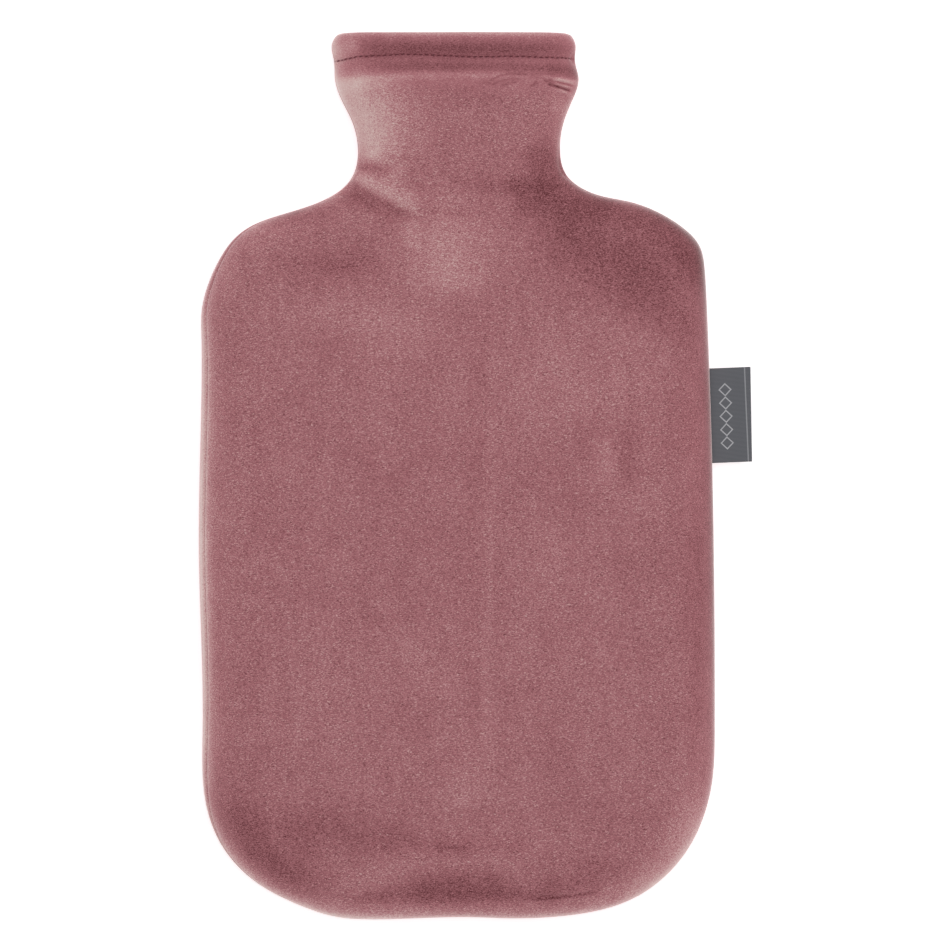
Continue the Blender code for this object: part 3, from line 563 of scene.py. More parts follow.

# %% [markdown]
# ## Brushing marks, and painted light and shade
# Velour looks pale where its tips face the eye and dark where they lean away, so a hand that strokes it leaves marks.
# The strokes here paint such marks, and most of them paint light and shade: pale on flanks and ridges that catch the
# light, dark in hollows, creases and on slopes that face away from it. They could be painted in a picture, but strokes
# that are placed by numbers stay sharp at any size. Each one is a bell along a line again, only that its height now
# says how pale or dark the pile is painted: above 0 pale, below 0 dark.
# A second table paints a pale sheen or a dark shade along the seam.

# %% Strokes of painted light and shade, and of brushing
LIGHT_AND_NAP_STROKES = (
    Fold("pale flank of the neck", -44.0, 178.0, -32.0, 146.0, 1.5, 8.5, 0.82),
    Fold("inner flank of the neck", -26.0, 173.0, -24.0, 146.0, 0.0, 12.0, 0.45),
    Fold("corner of the hem", -48.0, 188.0, -38.0, 190.0, 0.0, 4.0, 0.45),
    Fold("mouth's edge", -46.0, 194.8, 44.0, 194.6, 0.0, 1.5, 0.8),
    Fold("turned edge of the hem", -36.0, 188.6, 46.0, 188.3, 0.0, 3.0, -0.6),
    Fold("band under the stitches", -31.0, 181.6, 46.0, 180.6, 0.0, 2.5, -0.48),
    Fold("right end of the band", 36.0, 181.0, 47.5, 178.5, 0.0, 3.0, -0.3),
    Fold("roll under the hem", -44.0, 176.0, 30.0, 177.6, 1.5, 1.8, 0.42),
    Fold("left end of that roll", -46.0, 174.0, -20.0, 175.5, 0.0, 3.0, 0.3),
    Fold("middle of the neck", -22.0, 170.5, 22.0, 170.5, 0.0, 5.5, -0.16),
    Fold("hollow at the left of the throat", -40.5, 143.6, -31.0, 143.0, 0.0, 2.4, -0.15),
    Fold("left of the throat", -36.0, 147.5, -20.0, 141.0, 0.0, 4.0, 0.45),
    Fold("ridge from the left neck root", -41.5, 140.8, -15.0, 126.0, -0.8, 3.6, 0.5),
    Fold("shade under that ridge", -42.0, 133.0, -26.0, 127.0, 0.0, 3.5, -0.2),
    Fold("middle of the throat", -8.0, 130.0, 8.0, 130.0, 0.0, 9.0, 0.15),
    Fold("light spot under the left ridge", -18.5, 125.0, -17.0, 111.0, 0.0, 3.5, 0.3),
    Fold("valley at the right of the throat", 20.0, 139.0, 27.0, 124.0, 0.0, 4.0, -0.25),
    Fold("bank under the pinch", 37.0, 168.0, 43.0, 165.0, 0.0, 3.0, 0.15),
    Fold("pale cloth at the pinch", 38.0, 175.5, 46.0, 173.5, 0.0, 2.6, 0.32),
    Fold("right of the throat", 28.0, 142.0, 41.0, 147.0, 0.0, 6.0, -0.3),
    Fold("foot of the throat", -2.0, 135.5, 46.0, 135.0, 0.0, 3.5, -0.3),
    Fold("foot of the throat on the right", 26.0, 132.0, 60.0, 127.0, 0.0, 7.0, -0.5),
    Fold("over the right shoulder", 36.0, 121.0, 90.0, 91.0, -3.0, 14.0, -0.37),
    Fold("right shoulder's edge", 54.0, 128.0, 97.0, 96.0, 7.0, 6.0, -0.5),
    Fold("right side, upper half", 92.0, 98.0, 94.0, 10.0, 0.0, 9.0, -0.18),
    Fold("right side, lower half", 94.0, 10.0, 95.0, -80.0, 0.0, 7.0, -0.28),
    Fold("below the neck", -6.0, 118.0, -6.0, 96.0, 0.0, 13.0, 0.15),
    Fold("left shoulder near the neck", -74.0, 118.5, -46.0, 127.5, 0.0, 5.0, -0.2),
    Fold("left shoulder's edge", -82.0, 113.0, -60.0, 122.0, 1.5, 6.0, 0.2),
    Fold("right bank of the long fold", 15.0, 92.0, 11.0, -86.0, 0.0, 2.5, 0.22),
    Fold("left bottom corner", -93.5, -98.0, -54.0, -140.0, -5.0, 8.5, -0.43),
    Fold("right bottom corner", 66.0, -139.5, 94.5, -104.0, -7.0, 8.0, 0.45),
    Fold("left of the arch", -66.0, -112.0, -16.0, -120.0, 0.0, 9.0, -0.22),
    Fold("right of the arch", 24.0, -127.0, 72.0, -130.0, 0.0, 6.0, -0.3),
    Fold("crest of the arch", -18.0, -122.0, 28.0, -122.0, 0.0, 4.5, -0.36),
    Fold("right end of the arch", 32.0, -136.0, 56.0, -134.5, 0.0, 4.0, -0.3),
    Fold("dome under the arch", -20.0, -135.5, 22.0, -135.5, 0.0, 6.5, -0.31),
    Fold("foot of the dome", -38.0, -140.9, 40.0, -140.7, 0.0, 2.6, -0.26),
    Fold("light spot low in the middle", 1.0, -88.0, 3.0, -106.0, 0.0, 9.0, 0.2),
    Fold("light patch on the right", 44.0, 84.0, 50.0, 44.0, 0.0, 18.0, 0.18),
    Fold("shade beside the soft ridge", 66.5, 42.0, 65.5, 16.0, 0.0, 4.0, -0.25),
    Fold("lower bank of the right shoulder", 66.0, 94.0, 94.0, 78.0, 0.0, 8.0, -0.2),
    Fold("shade on the left", -60.0, 40.0, -30.0, 34.0, 0.0, 10.0, -0.09),
    Fold("shade low on the right", 72.0, 8.0, 72.0, -26.0, 0.0, 10.0, -0.1),
    Fold("light patch, low on the right", 36.0, -8.0, 50.0, -26.0, 0.0, 12.0, 0.09),
    Fold("light patch, upper left", -56.0, 84.0, -6.0, 81.0, 0.0, 8.0, 0.18),
    Fold("light patch beside the left edge", -73.0, 58.0, -72.0, 46.0, 0.0, 7.0, 0.1),
    Fold("light patch on the left", -58.0, 15.0, -42.0, 8.0, 0.0, 10.0, 0.09),
    Fold("light patch, low in the middle", -14.0, -34.0, -6.0, -66.0, 0.0, 12.0, 0.09),
    Fold("shade left of the long fold", -24.0, 58.0, -4.0, 50.0, 0.0, 12.0, -0.09),
    Fold("shade above the left corner", -87.0, -108.0, -56.0, -118.0, 0.0, 7.0, -0.2),
)
# Folds and creases also paint light on their ridges and shade in their hollows:
FOLD_LIGHT_AND_SHADE, CREASE_LIGHT_AND_SHADE = 0.17, 0.9  # change of nap for each millimetre that the cloth folds outwards
print(len(LIGHT_AND_NAP_STROKES), "strokes")

# %% Painted sheen and shade along the seam
# The painted sheen (above 0) or shade (below 0) in the seam on the left and on the right, and the distance in
# millimetres over which it fades.
Edge = namedtuple("Edge", "place left right wide")
SEAM_SHEEN_AND_SHADE = (
    Edge("mouth edge", 0.9, 0.3, 2.2),
    Edge("hem", 1.0, 0.3, 2.4),
    Edge("hem stitch", 1.0, 0.0, 2.4),
    Edge("under the hem", 1.2, -0.4, 2.4),
    Edge("flare", 0.9, 0.5, 2.2),
    Edge("upper neck", 0.5, 0.3, 2.0),
    Edge("throat", 0.3, 0.1, 2.0),
    Edge("neck root", 0.2, -0.2, 1.5),
    Edge("root turn", 0.9, -0.4, 1.2),
    Edge("shoulder top", -0.4, -0.1, 3.0),
    Edge("shoulder", 0.2, -0.9, 3.0),
    Edge("shoulder corner", 0.3, -1.3, 3.0),
    Edge("shoulder side", 0.5, -1.1, 2.5),
    Edge("upper side", 1.1, -0.4, 2.0),
    Edge("middle side", 1.6, -0.9, 1.8),
    Edge("lower side", 1.4, -0.3, 1.8),
    Edge("corner start", 0.9, 0.1, 2.2),
    Edge("corner", 1.2, 0.6, 2.8),
    Edge("corner low", 1.3, 0.9, 3.2),
    Edge("corner end", 1.5, 1.1, 2.8),
    Edge("bottom", 1.5, 1.0, 2.4),
    Edge("bottom middle", 0.9, 0.9, 2.0),
)
# The back gets only the pale painted sheen beside the seam, fading over a wider strip and at this share.
BACK_WIDER, BACK_SHARE = 3.5, 0.9  # on the back, the pile beside the seam is open over a wider strip


def rim_sheen_and_shade(away, wider):
    """Painted sheen or shade at the seam, linear between the places, times exp(-distance from the seam / width)."""
    starts = np.cumsum([0] + [place.rays for place in PLACES[:-1]])
    rays = np.arange(starts[-1] + 1)
    left, right, wide = (np.interp(rays, starts, [edge[column] for edge in SEAM_SHEEN_AND_SHADE]) for column in (1, 2, 3))
    around, wide = np.concatenate([left, right[-2::-1]]), np.concatenate([wide, wide[-2::-1]])
    return around[:, None] * np.exp(-away / (wide[:, None] * wider))


print("nap in the seam from", min(edge.right for edge in SEAM_SHEEN_AND_SHADE), "to", max(edge.left for edge in SEAM_SHEEN_AND_SHADE))

# %% [markdown]
# ## Velour
# Velour is a knitted polyester cloth with a short cut pile on its face, about 1 mm deep. The pile hides the knit. Each
# small tuft leans its own way, so the surface is mottled, and at a grazing angle the tips catch the light, which gives
# pale rims: partly the shader's sheen, and partly a sheen painted along the seam. Real hair would cost millions of
# strands for a cover this large. Noise at the size of a tuft does it, as colour and as bump, on top of the brushing
# marks and the painted light and shade from the tables.
# Under the hem the pile is pressed by hands that pull the cover on, and the tufts show less there, as they do where
# the painted light is palest.

# %% Cut pile
# To the eye: a matt, deep rose without gloss, pale where the tips face it, with a soft light edge where it turns away:
# partly the shader's sheen, partly a painted sheen.
# Real tufts are about 0.3 mm, finer than a pixel of the picture, so they are drawn about twice as wide.
TUFT_WIDE, TUFT_TALL = 0.64, 0.3  # the pile lies crosswise, so its tufts are wider than tall
PATCH_WIDE, PATCH_LONG = 7.0, 16.0  # a hand strokes the cover up and down, so brushed patches are long that way
CLOUD, WANDER = 34.0, 2.2  # sizes of the soft clouds, and of the strays of the dark line along the stitches
# Nap below is the brushing marks together with the painted light and shade.
REST, LIGHT_AND_NAP_GAIN = 0.52, 0.32  # the ramp's place for pile at rest, and the change of place for each unit of nap
TUFT_GAIN, PATCH_GAIN, CLOUD_GAIN = 1.22, 0.11, 0.13  # how far each noise moves that place, from end to end
# The palest stops are reached where light or sheen is painted, the darkest where shade is painted.
PILE = ((0.0, "#582429"), (0.2, "#7A464B"), (0.52, "#B5747B"), (0.68, "#C68B90"), (0.84, "#DCB3B1"), (1.0, "#E9D2CD"))
# Dark pile for the stitch line: pile squeezed shut, and painted shade in the groove.
SHUT_PILE_AND_GROOVE_SHADE = "#74363F"  # where the stitches squeeze it
BUMP_STRENGTH, TUFT_BUMP = 0.4, 0.15  # the bump's share, and its depth
# How much of the tufts shows, by the height over the hem's stitches in mm, and then by the brushing and painted light,
# less where that is palest.
PRESSED = {"From Min": -16.0, "From Max": -11.0, "To Min": 1.0, "To Max": 0.62}
CALM_IN_PAINTED_LIGHT = {"From Min": 0.3, "From Max": 1.1, "To Min": 1.0, "To Max": 0.65}
# How dark the pile is along the stitches, squeezed shut and in painted shade in their groove, by the distance from
# their row in mm.
SQUEEZED_AND_SHADED = {"From Min": 0.1, "From Max": 0.6, "To Min": 0.4, "To Max": 0.0}
LINE_STRAYS = 0.8  # this dark line strays to both sides, over this width in all


def velour():
    """Colour ramp from dark to pale pile, read at rest + gain * (brushing and painted light and shade) + tufts +
    patches + clouds.

    The tufts are weaker where the pile is pressed or the painted light is palest. Along the stitches the pile is
    darkened
    in a line at row 0: squeezed shut, and painted shade in the groove.
    """
    matt = {"Roughness": 0.92, "Specular IOR Level": 0.1}
    rims = {"Sheen Weight": 1.0, "Sheen Roughness": 0.3, "Sheen Tint": linear("#FFF2F0")}
    made, tree, shader = material("polyester velour, dusty rose, cut pile", {**matt, **rims})
    at = node(tree, "ShaderNodeTexCoord")
    nap = node(tree, "ShaderNodeAttribute", {"attribute_name": "nap"})
    row = node(tree, "ShaderNodeAttribute", {"attribute_name": "row"})

    each_way = tuple(1.0 / (size * MM) for size in (TUFT_WIDE, TUFT_TALL, TUFT_TALL))
    lying = node(tree, "ShaderNodeMapping", {"Vector": (at, "Object"), "Scale": each_way})
    tuft = node(tree, NOISE, {"Vector": (lying, 0), "Scale": 1.0, "Detail": 0.5, "Roughness": 0.5, "Distortion": 1.2})
    each_way = tuple(1.0 / (size * MM) for size in (PATCH_WIDE, PATCH_LONG, PATCH_WIDE))
    stroked = node(tree, "ShaderNodeMapping", {"Vector": (at, "Object"), "Scale": each_way})
    patch = node(tree, NOISE, {"Vector": (stroked, 0), "Scale": 1.0, "Detail": 1.0, "Roughness": 0.5})
    cloud = node(tree, NOISE, {"Vector": (at, "Object"), "Scale": 1.0 / (CLOUD * MM), "Detail": 2.0, "Roughness": 0.5})

    pressed = node(tree, RANGE, {"Value": (row, "Fac"), **PRESSED})
    calm_in_light = node(tree, RANGE, {"Value": (nap, "Fac"), **CALM_IN_PAINTED_LIGHT})
    calm = node(tree, MATH, {"operation": "MULTIPLY", 0: (pressed, 0), 1: (calm_in_light, 0)})
    grain = node(tree, MATH, {"operation": "MULTIPLY_ADD", 0: (tuft, 0), 1: TUFT_GAIN, 2: -TUFT_GAIN / 2.0})
    tufts = node(tree, MATH, {"operation": "MULTIPLY", 0: (grain, 0), 1: (calm, 0)})

    # Brushing marks, painted light and painted shade move the ramp's place.
    brushed_and_painted_light = node(tree, MATH, {"operation": "MULTIPLY_ADD", 0: (nap, "Fac"), 1: LIGHT_AND_NAP_GAIN, 2: REST})
    hand = node(tree, MATH, {"operation": "MULTIPLY_ADD", 0: (patch, 0), 1: PATCH_GAIN, 2: -PATCH_GAIN / 2.0})
    soft = node(tree, MATH, {"operation": "MULTIPLY_ADD", 0: (cloud, 0), 1: CLOUD_GAIN, 2: -CLOUD_GAIN / 2.0})
    uneven = node(tree, MATH, {"operation": "ADD", 0: (hand, 0), 1: (soft, 0)})
    lit_and_uneven = node(tree, MATH, {"operation": "ADD", 0: (brushed_and_painted_light, 0), 1: (uneven, 0)})
    pile_tone_and_light = node(tree, MATH, {"operation": "ADD", 0: (lit_and_uneven, 0), 1: (tufts, 0)})
    ramp = node(tree, RAMP, {"Fac": (pile_tone_and_light, 0)})
    stops(ramp, *PILE)

    # A dark line along the stitches: pile squeezed shut, and painted shade in their groove.
    wander = node(tree, NOISE, {"Vector": (at, "Object"), "Scale": 1.0 / (WANDER * MM), "Detail": 1.0})
    drift = node(tree, MATH, {"operation": "MULTIPLY_ADD", 0: (wander, 0), 1: LINE_STRAYS, 2: -LINE_STRAYS / 2.0})
    off = node(tree, MATH, {"operation": "ADD", 0: (row, "Fac"), 1: (drift, 0)})
    far = node(tree, MATH, {"operation": "ABSOLUTE", 0: (off, 0)})
    groove_shade = node(tree, RANGE, {"Value": (far, 0), **SQUEEZED_AND_SHADED})
    colours = {"data_type": "RGBA", FIRST: (ramp, 0), SECOND: linear(SHUT_PILE_AND_GROOVE_SHADE)}
    shut_and_shaded = node(tree, "ShaderNodeMix", {**colours, SHARE: (groove_shade, 0)})
    tree.links.new(shut_and_shaded.outputs[MIXED], shader.inputs["Base Color"])

    bump = node(tree, "ShaderNodeBump", {"Strength": BUMP_STRENGTH, "Distance": TUFT_BUMP * MM, "Height": (tuft, 0)})
    tree.links.new(bump.outputs[0], shader.inputs["Normal"])
    return made


VELOUR = velour()
print("material:", VELOUR.name)

# %% [markdown]
# ## The cloth's other side
# Inside, the same cloth shows its knitted side, smooth and a little paler, and it is seen only through the mouth. A
# second sheet would be one too many. The faces of the inner side take a second material instead, with fine ribs.

# %% Knitted side
# To the eye: smooth and flat, a greyer rose, with fine ribs that run up and down. Real ribs are about 0.6 mm apart,
# and the ones drawn are 0.9 mm apart, so that a view into the mouth shows them.
RIB, RIB_BUMP = 0.9, 0.15  # spacing and depth of the ribs
RIB_COLOURS = ((0.0, "#8A5960"), (1.0, "#A8777C"))  # between the ribs and on them
WAVE = np.pi / 10.0  # Blender's wave texture has 20 radians a unit, so this over the spacing is its scale


def knit_back():
    """Ribs as sine waves along X, one for each rib's width, as colour and as bump."""
    smooth = {"Roughness": 0.85, "Specular IOR Level": 0.3}
    made, tree, shader = material("knitted back of the velour", smooth)
    at = node(tree, "ShaderNodeTexCoord")
    wavy = {"Scale": WAVE / (RIB * MM), "Distortion": 0.6, "Detail": 1.0}
    ribs = node(tree, "ShaderNodeTexWave", {"Vector": (at, "Object"), **wavy})
    ramp = node(tree, RAMP, {"Fac": (ribs, "Fac")})
    stops(ramp, *RIB_COLOURS)
    tree.links.new(ramp.outputs[0], shader.inputs["Base Color"])
    ridges = {"Strength": BUMP_STRENGTH, "Distance": RIB_BUMP * MM, "Height": (ribs, "Fac")}
    bump = node(tree, "ShaderNodeBump", ridges)
    tree.links.new(bump.outputs[0], shader.inputs["Normal"])
    return made


KNIT = knit_back()
print("material:", KNIT.name)

# %% [markdown]
# ## The two panels
# Front and back are cut as one shape and its mirror image, and each is a piece of its own, because a maker cuts and
# sews them as two. One mesh could show both, but the seam between them would then be a painted line. Each point gets
# its painted light and shade here, with the brushing marks: the strokes, painted light on the folds' ridges and painted
# shade in their hollows and creases, and a painted sheen or shade along the seam.

# %% The two panels
x, y = front_outer[..., 0], front_outer[..., 1]
# Painted light on the ridges of folds and creases, and painted shade in their hollows.
folded = FOLD_LIGHT_AND_SHADE * bells(x, y, FOLDS) + CREASE_LIGHT_AND_SHADE * bells(x, y, CREASES)
front_light_and_nap = bells(x, y, LIGHT_AND_NAP_STROKES) + folded + rim_sheen_and_shade(front_away, 1.0)
# The back has only the painted sheen beside the seam, no painted shade.
back_painted_sheen = np.maximum(rim_sheen_and_shade(back_away, BACK_WIDER), 0.0) * BACK_SHARE
front = cloth_piece("front_velour", front_outer, front_inner, (VELOUR, KNIT), front_light_and_nap)
back = cloth_piece("back_velour", back_outer, back_inner, (VELOUR, KNIT), back_painted_sheen)
print("nap on the front from", round(float(front_light_and_nap.min()), 2), "to", round(float(front_light_and_nap.max()), 2))

# %% [markdown]
# ## Hem stitches
# The row is a lockstitch in thread of the cloth's colour, sunk in the pile. A curve with an array of stitches along it
# would need many objects. Here one formula sweeps a circle along each stitch: it rises out of the cloth, lies in the
# groove and dips back in.

# %% Where the row runs
NEAR_MOUTH = 60  # rays on each side that are searched for the row


def row_path(outer):
    """Line on the outer face where its height in plan equals the stitch row: linear between the two nearest rays."""
    columns = slice(LIP_STEPS + 1, None)
    halves = []
    for rays, flip in ((outer[:NEAR_MOUTH, columns], 1), (outer[: -NEAR_MOUTH - 1 : -1, columns], -1)):
        off = rays[..., 1] - stitch_row(rays[..., 0])
        row = np.argmax(off < 0.0, axis=0)
        column = np.arange(rays.shape[1])
        share = (off[row - 1, column] / (off[row - 1, column] - off[row, column]))[:, None]
        line = rays[row - 1, column] * (1.0 - share) + rays[row, column] * share
        halves.append(line[::flip])
    return np.concatenate([halves[0], halves[1][1:]])


front_path, back_path = row_path(front_outer), row_path(back_outer)
print("the row is", round(float(np.linalg.norm(np.diff(front_path, axis=0), axis=1).sum()), 1), "mm long on the front")

# %% Thread in the groove
# To the eye: a thin dark line of short dashes, a shade redder than the cloth round it, with hardly any shine. Real
# sewing thread is 0.3 mm thick. It is drawn 0.48 mm thick, a little more than a pixel, so that each stitch shows.
THREAD, THIN_END = 0.24, 0.35  # radius of the thread, and the share of it that is left at a stitch's ends
SLANT, STRAY = 0.3, 0.06  # how far a stitch slants, and how far it strays from the row
SUNK, ARCH = 0.22, 0.30  # depth of a stitch's ends under the groove's floor, and rise of its middle from there
DIP = 0.13  # share of a stitch at each end where the thread is under the cloth
MARGIN, AHEAD = 1.5, 0.4  # room beyond the last stitch, and the distance over which the row's direction is taken
RISE_POWER, TAPER_POWER = 0.6, 0.4  # the lower, the sooner a stitch is at its full height and thickness
RINGS, RING_POINTS = 9, 8  # circles in a stitch, and points in a circle
SEED = 5  # start of the random draws
PLY, PLY_COLOURS = 0.35, ((0.3, "#561F28"), (0.7, "#7A3943"))  # size of one ply of the yarn, and its shades


def thread():
    """Noise at the size of one ply of the twisted yarn, from dark to less dark."""
    spun = {"Roughness": 0.6, "Specular IOR Level": 0.4}
    made, tree, shader = material("spun polyester sewing thread", spun)
    at = node(tree, "ShaderNodeTexCoord")
    ply = node(tree, NOISE, {"Vector": (at, "Object"), "Scale": 1.0 / (PLY * MM), "Detail": 1.0})
    ramp = node(tree, RAMP, {"Fac": (ply, 0)})
    stops(ramp, *PLY_COLOURS)
    tree.links.new(ramp.outputs[0], shader.inputs["Base Color"])
    return made


def hem_stitches(name, path, side, slot):
    """Circles round each stitch's line, for t from 0 to 1 along it.

    Lift = arch * sin(pi t)^0.6 - sunk, and radius = thread * (thin + (1 - thin) * sin(pi t)^0.4).
    """
    length = np.concatenate([[0.0], np.cumsum(np.linalg.norm(np.diff(path, axis=0), axis=1))])
    count = int((length[-1] - 2.0 * MARGIN) / STITCH)
    t = np.linspace(0.0, 1.0, RINGS)
    at = MARGIN + STITCH * (np.arange(count)[:, None] + DIP + (1.0 - 2.0 * DIP) * t)

    def on_row(place):
        return np.stack([np.interp(place, length, path[:, k]) for k in range(3)], axis=-1)

    ahead = on_row(at + AHEAD) - on_row(at - AHEAD)
    across = np.broadcast_to(np.array([0.0, 1.0, 0.0]), ahead.shape)
    out = side * np.cross(ahead, across)
    out /= np.linalg.norm(out, axis=-1, keepdims=True)
    lift = ARCH * np.sin(np.pi * t) ** RISE_POWER - SUNK
    radius = THREAD * (THIN_END + (1.0 - THIN_END) * np.sin(np.pi * t) ** TAPER_POWER)
    turn = np.linspace(0.0, 2.0 * np.pi, RING_POINTS + 1)[:-1]
    ring = out[:, :, None] * np.cos(turn)[:, None] + across[:, :, None] * np.sin(turn)[:, None]
    stray = np.random.default_rng(SEED).normal(0.0, STRAY, (count, 2))
    aside = stray[:, :1] + (SLANT + stray[:, 1:]) * (t - 0.5)
    centre = on_row(at) + across * aside[:, :, None] + out * lift[:, None]
    points = centre[:, :, None] + ring * radius[:, None, None]
    number = np.arange(points[..., 0].size).reshape(points.shape[:3])
    wrapped = np.concatenate([number, number[:, :, :1]], axis=2)
    corners = (wrapped[:, :-1, :-1], wrapped[:, 1:, :-1], wrapped[:, 1:, 1:], wrapped[:, :-1, 1:])
    faces = np.stack(corners, axis=-1).reshape(-1, 4)
    caps = np.concatenate([number[:, 0, ::-1], number[:, -1]])
    return make_mesh(name, points.reshape(-1, 3), [(faces, 0), (caps, 0)], (slot,))


POLYESTER = thread()
front_row = hem_stitches("front_hem_stitches", front_path, 1, POLYESTER)
back_row = hem_stitches("back_hem_stitches", back_path, -1, POLYESTER)

# %% [markdown]
# ## The label
# A dark grey satin tape, 37 mm wide, is folded in two and its cut ends are caught in the side seam. Two flat rectangles
# would look like card. So it is one sheet that runs out on the lower layer, round the fold and back on the upper one,
# and it droops a little under its own weight. The loom wove a plain ornament into it in lighter yarn: a chain of
# lozenges, and a thin stripe beside the fold.

# %% Folded tape
ROOT_X, FOLD_X = 94.6, 115.1  # the tape's cut ends in the seam, and its fold
DROOP, TILT, SKEW = 1.4, np.radians(2.4), 0.017  # sag of the fold, and how far the tape is from square
DROOP_FROM = 0.2  # share of the tape at its root that stays level
RIPPLE, RIPPLE_LONG, RIPPLE_PHASE = 0.18, 31.0, 0.8  # height, length and start of the wave along the fold
LEG_STEPS, TURN_STEPS, TAPE_STEPS = 40, 10, 74  # along a layer, round the fold and across the tape


def tape_faces():
    """Path (out, half circle, back) times width: outer face at radius space/2 + tape, inner face at space/2."""
    bend_x = FOLD_X - TAPE_SPACE / 2.0 - TAPE
    leg = np.linspace(ROOT_X, bend_x, LEG_STEPS + 1)[:-1]
    turn = np.linspace(-np.pi / 2.0, np.pi / 2.0, TURN_STEPS + 1)
    path_x = np.concatenate([leg, bend_x + 0.0 * turn, leg[::-1]])
    angle = np.concatenate([0.0 * leg - np.pi / 2.0, turn, 0.0 * leg + np.pi / 2.0])
    width = np.linspace(TAPE_LOW, TAPE_HIGH, TAPE_STEPS + 1)
    right = RAY["across"] < 0.0
    seam = np.interp(width, RAY["y"][right], (RAY["equator"] + RAY["seam"])[right])

    def face(radius):
        x = path_x + radius * np.cos(angle)
        out = (x - ROOT_X) / (FOLD_X - ROOT_X)
        droop = DROOP * ease((out - DROOP_FROM) / (1.0 - DROOP_FROM)) ** 2
        y = width[None, :] + np.tan(TILT) * (x[:, None] - ROOT_X)
        wave = np.sin(2.0 * np.pi * (width[None, :] - TAPE_LOW) / RIPPLE_LONG + RIPPLE_PHASE)
        z = seam[None, :] + (radius * np.sin(angle) - droop)[:, None] + RIPPLE * out[:, None] * wave
        x = x[:, None] - SKEW * out[:, None] * (width[None, :] - (TAPE_LOW + TAPE_HIGH) / 2.0)
        return np.stack([x, y, z], axis=-1)

    return face(TAPE_SPACE / 2.0 + TAPE), face(TAPE_SPACE / 2.0)


def closed_sheet(name, outer, inner, slots):
    """Closed sheet with equal grids on both faces and cut edges all round."""
    top = np.arange(outer.shape[0] * outer.shape[1]).reshape(outer.shape[:2])
    under = top + top.size
    faces = [quads(top[:, i], top[:, i + 1]) for i in range(top.shape[1] - 1)]
    faces += [quads(under[:, i + 1], under[:, i]) for i in range(top.shape[1] - 1)]
    faces += [quads(top[:, -1], under[:, -1]), quads(under[:, 0], top[:, 0])]
    faces += [quads(top[0], under[0]), quads(under[-1], top[-1])]
    points = np.concatenate([outer.reshape(-1, 3), inner.reshape(-1, 3)])
    return make_mesh(name, points, [(np.concatenate(faces), 0)], slots)


tape_outer, tape_inner = tape_faces()

# %% Woven ornament
# To the eye: flat and smooth, dark grey with a faint silky shine along its fine ribs, and a crisp paler ornament. The
# real weft threads are about 0.2 mm apart, and the ones drawn are 0.5 mm apart, so that the ribs can be seen.
WEFT, WEFT_BUMP, WEFT_STRENGTH = 0.5, 0.06, 0.5  # spacing and depth of the ribs, and the bump's share
SATIN_COLOURS = ((0.0, "#56585D"), (1.0, "#6D6F75"))  # between the ribs and on them
ORNAMENT_YARN = "#B9BABE"
LOZENGE_WIDE, LOZENGE_TALL, LOZENGES, POINT_GAP = 4.6, 5.2, 5, 0.3  # size, number, and gap at the points
ORNAMENT_X = 105.2  # middle of the chain of lozenges, which the stripe's place is counted from
LINE, STRIPE_X, STRIPE_SHARE = 0.5, 8.0, 0.5  # width of a line, place of the stripe, and how much yarn shows in it
LINE_SLANT = 1.25  # a lozenge's side is slanted, so its line is this much wider along X


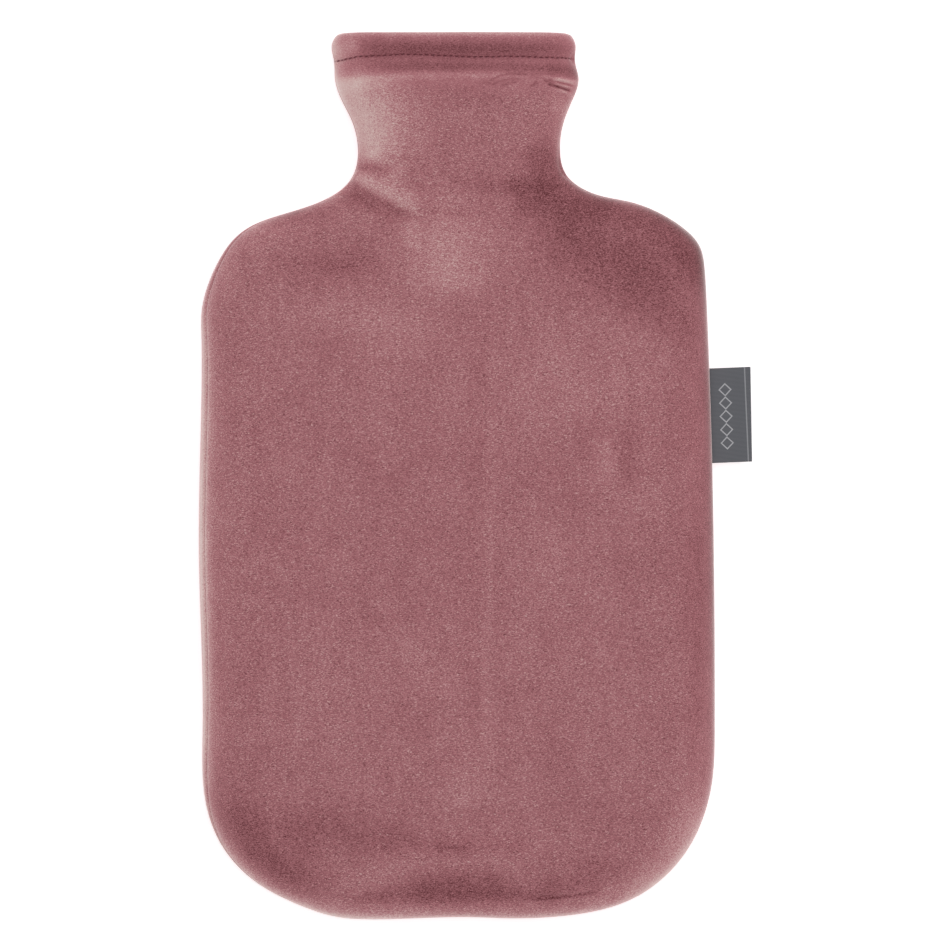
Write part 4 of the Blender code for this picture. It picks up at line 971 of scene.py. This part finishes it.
def satin_tape():
    """Weft ribs, and two ornaments in lighter yarn: lozenges, where |x| / a + |y| / b = 1, and a stripe."""
    silky = {"Roughness": 0.55, "Specular IOR Level": 0.35, "Sheen Weight": 0.1}
    made, tree, shader = material("woven satin tape, dark grey polyester", silky)
    middle = (ORNAMENT_X * MM, (TAPE_LOW + TAPE_HIGH) / 2.0 * MM, 0.0)
    at = node(tree, "ShaderNodeTexCoord")
    turned = {"vector_type": "TEXTURE", "Location": middle, "Rotation": (0.0, 0.0, TILT), "Scale": (MM, MM, MM)}
    on_tape = node(tree, "ShaderNodeMapping", {"Vector": (at, "Object"), **turned})
    place = node(tree, "ShaderNodeSeparateXYZ", {"Vector": (on_tape, 0)})

    aside = node(tree, MATH, {"operation": "ABSOLUTE", 0: (place, 0)})
    side = node(tree, MATH, {"operation": "DIVIDE", 0: (aside, 0), 1: LOZENGE_WIDE / 2.0})
    again = node(tree, MATH, {"operation": "PINGPONG", 0: (place, 1), 1: LOZENGE_TALL / 2.0})
    step = node(tree, MATH, {"operation": "DIVIDE", 0: (again, 0), 1: LOZENGE_TALL / 2.0 - POINT_GAP})
    both = node(tree, MATH, {"operation": "ADD", 0: (side, 0), 1: (step, 0)})
    line = LINE / LOZENGE_WIDE * LINE_SLANT
    lozenge = node(tree, MATH, {"operation": "COMPARE", 0: (both, 0), 1: 1.0, 2: line})
    reach = LOZENGES * LOZENGE_TALL / 2.0
    within = node(tree, MATH, {"operation": "COMPARE", 0: (place, 1), 1: 0.0, 2: reach})
    chain = node(tree, MATH, {"operation": "MULTIPLY", 0: (lozenge, 0), 1: (within, 0)})
    stripe = node(tree, MATH, {"operation": "COMPARE", 0: (place, 0), 1: STRIPE_X, 2: LINE / 2.0})
    thin = node(tree, MATH, {"operation": "MULTIPLY", 0: (stripe, 0), 1: STRIPE_SHARE})
    lighter = node(tree, MATH, {"operation": "MAXIMUM", 0: (chain, 0), 1: (thin, 0)})

    ribbed = {"bands_direction": "Y", "Scale": WAVE / WEFT, "Distortion": 0.8, "Detail": 1.0}
    weft = node(tree, "ShaderNodeTexWave", {"Vector": (on_tape, 0), **ribbed})
    ramp = node(tree, RAMP, {"Fac": (weft, "Fac")})
    stops(ramp, *SATIN_COLOURS)
    colours = {"data_type": "RGBA", FIRST: (ramp, 0), SECOND: linear(ORNAMENT_YARN)}
    yarn = node(tree, "ShaderNodeMix", {**colours, SHARE: (lighter, 0)})
    tree.links.new(yarn.outputs[MIXED], shader.inputs["Base Color"])
    ridges = {"Strength": WEFT_STRENGTH, "Distance": WEFT_BUMP * MM, "Height": (weft, "Fac")}
    bump = node(tree, "ShaderNodeBump", ridges)
    tree.links.new(bump.outputs[0], shader.inputs["Normal"])
    return made


SATIN = satin_tape()
tape = closed_sheet("side_tape", tape_outer, tape_inner, (SATIN,))

# %% [markdown]
# ## What stands for what
# Each new piece rides on the part's only body, and the three cloth pieces stand for the three solids, which are hidden.


stand_for = ((front, "front_panel", "velour"), (back, "back_panel", "velour"), (tape, "side_label", "woven_tape"))
for piece, node_name, slot in stand_for:
    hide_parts(node_name)
for piece in (front, back, tape, front_row, back_row):
    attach(piece, "root")

# %% [markdown]
# ## Floor and light
# The studio had a white table and large soft lights. A pale floor alone would show a grey shadow round the cover, so
# the floor glows a little as well, like a light table, which also gives the cover its pale rims. The room is white
# near the floor and greyer overhead, so that the sides of the cover are lit more than its top.

# %% Floor, lights and world
# To the eye: an even matt white without a visible edge, as of a lit acrylic table.
WHITE, ACRYLIC = (1.0, 1.0, 1.0, 1.0), linear("#F4F4F4")
FLOOR_WIDE = 6.0  # in metres, far past the picture's edge
lit = {"Base Color": ACRYLIC, "Roughness": 0.9, "Emission Color": WHITE, "Emission Strength": 0.6}
light_table, _, _ = material("opal acrylic light table, sanded matt", lit)
bpy.ops.mesh.primitive_plane_add(size=FLOOR_WIDE)
floor = bpy.context.active_object
floor.name = "floor"
floor.data.materials.append(light_table)


def soft_light(name, place, size, power):
    """Square area light, turned towards the cover. Place and size are in metres, and the power is in watts."""
    lamp = bpy.data.lights.new(name, "AREA")
    lamp.size, lamp.energy = size, power
    made = bpy.data.objects.new(name, lamp)
    made.location = place
    towards = -np.array(place)
    tip = np.arccos(towards[2] / -np.linalg.norm(towards))
    made.rotation_euler = (tip, 0.0, np.arctan2(towards[0], -towards[1]))
    bpy.context.scene.collection.objects.link(made)


soft_light("left", place=(-2.2, -0.3, 0.8), size=0.7, power=55.0)
soft_light("overhead", place=(0.2, 0.3, 2.2), size=1.2, power=25.0)
world = bpy.data.worlds.new("studio")
world.use_nodes = True
tree = world.node_tree
sky = node(tree, "ShaderNodeTexCoord")
height = node(tree, "ShaderNodeSeparateXYZ", {"Vector": (sky, "Generated")})
upwards = {"From Min": 0.12, "From Max": 0.5, "To Min": 1.0, "To Max": 0.2}
walls = node(tree, RANGE, {"Value": (height, 2), **upwards})
tree.links.new(walls.outputs[0], tree.nodes["Background"].inputs["Strength"])
tree.nodes["Background"].inputs["Color"].default_value = WHITE
bpy.context.scene.world = world
bpy.context.scene.view_settings.view_transform = "Standard"
print("white floor, two soft lights and a white room")
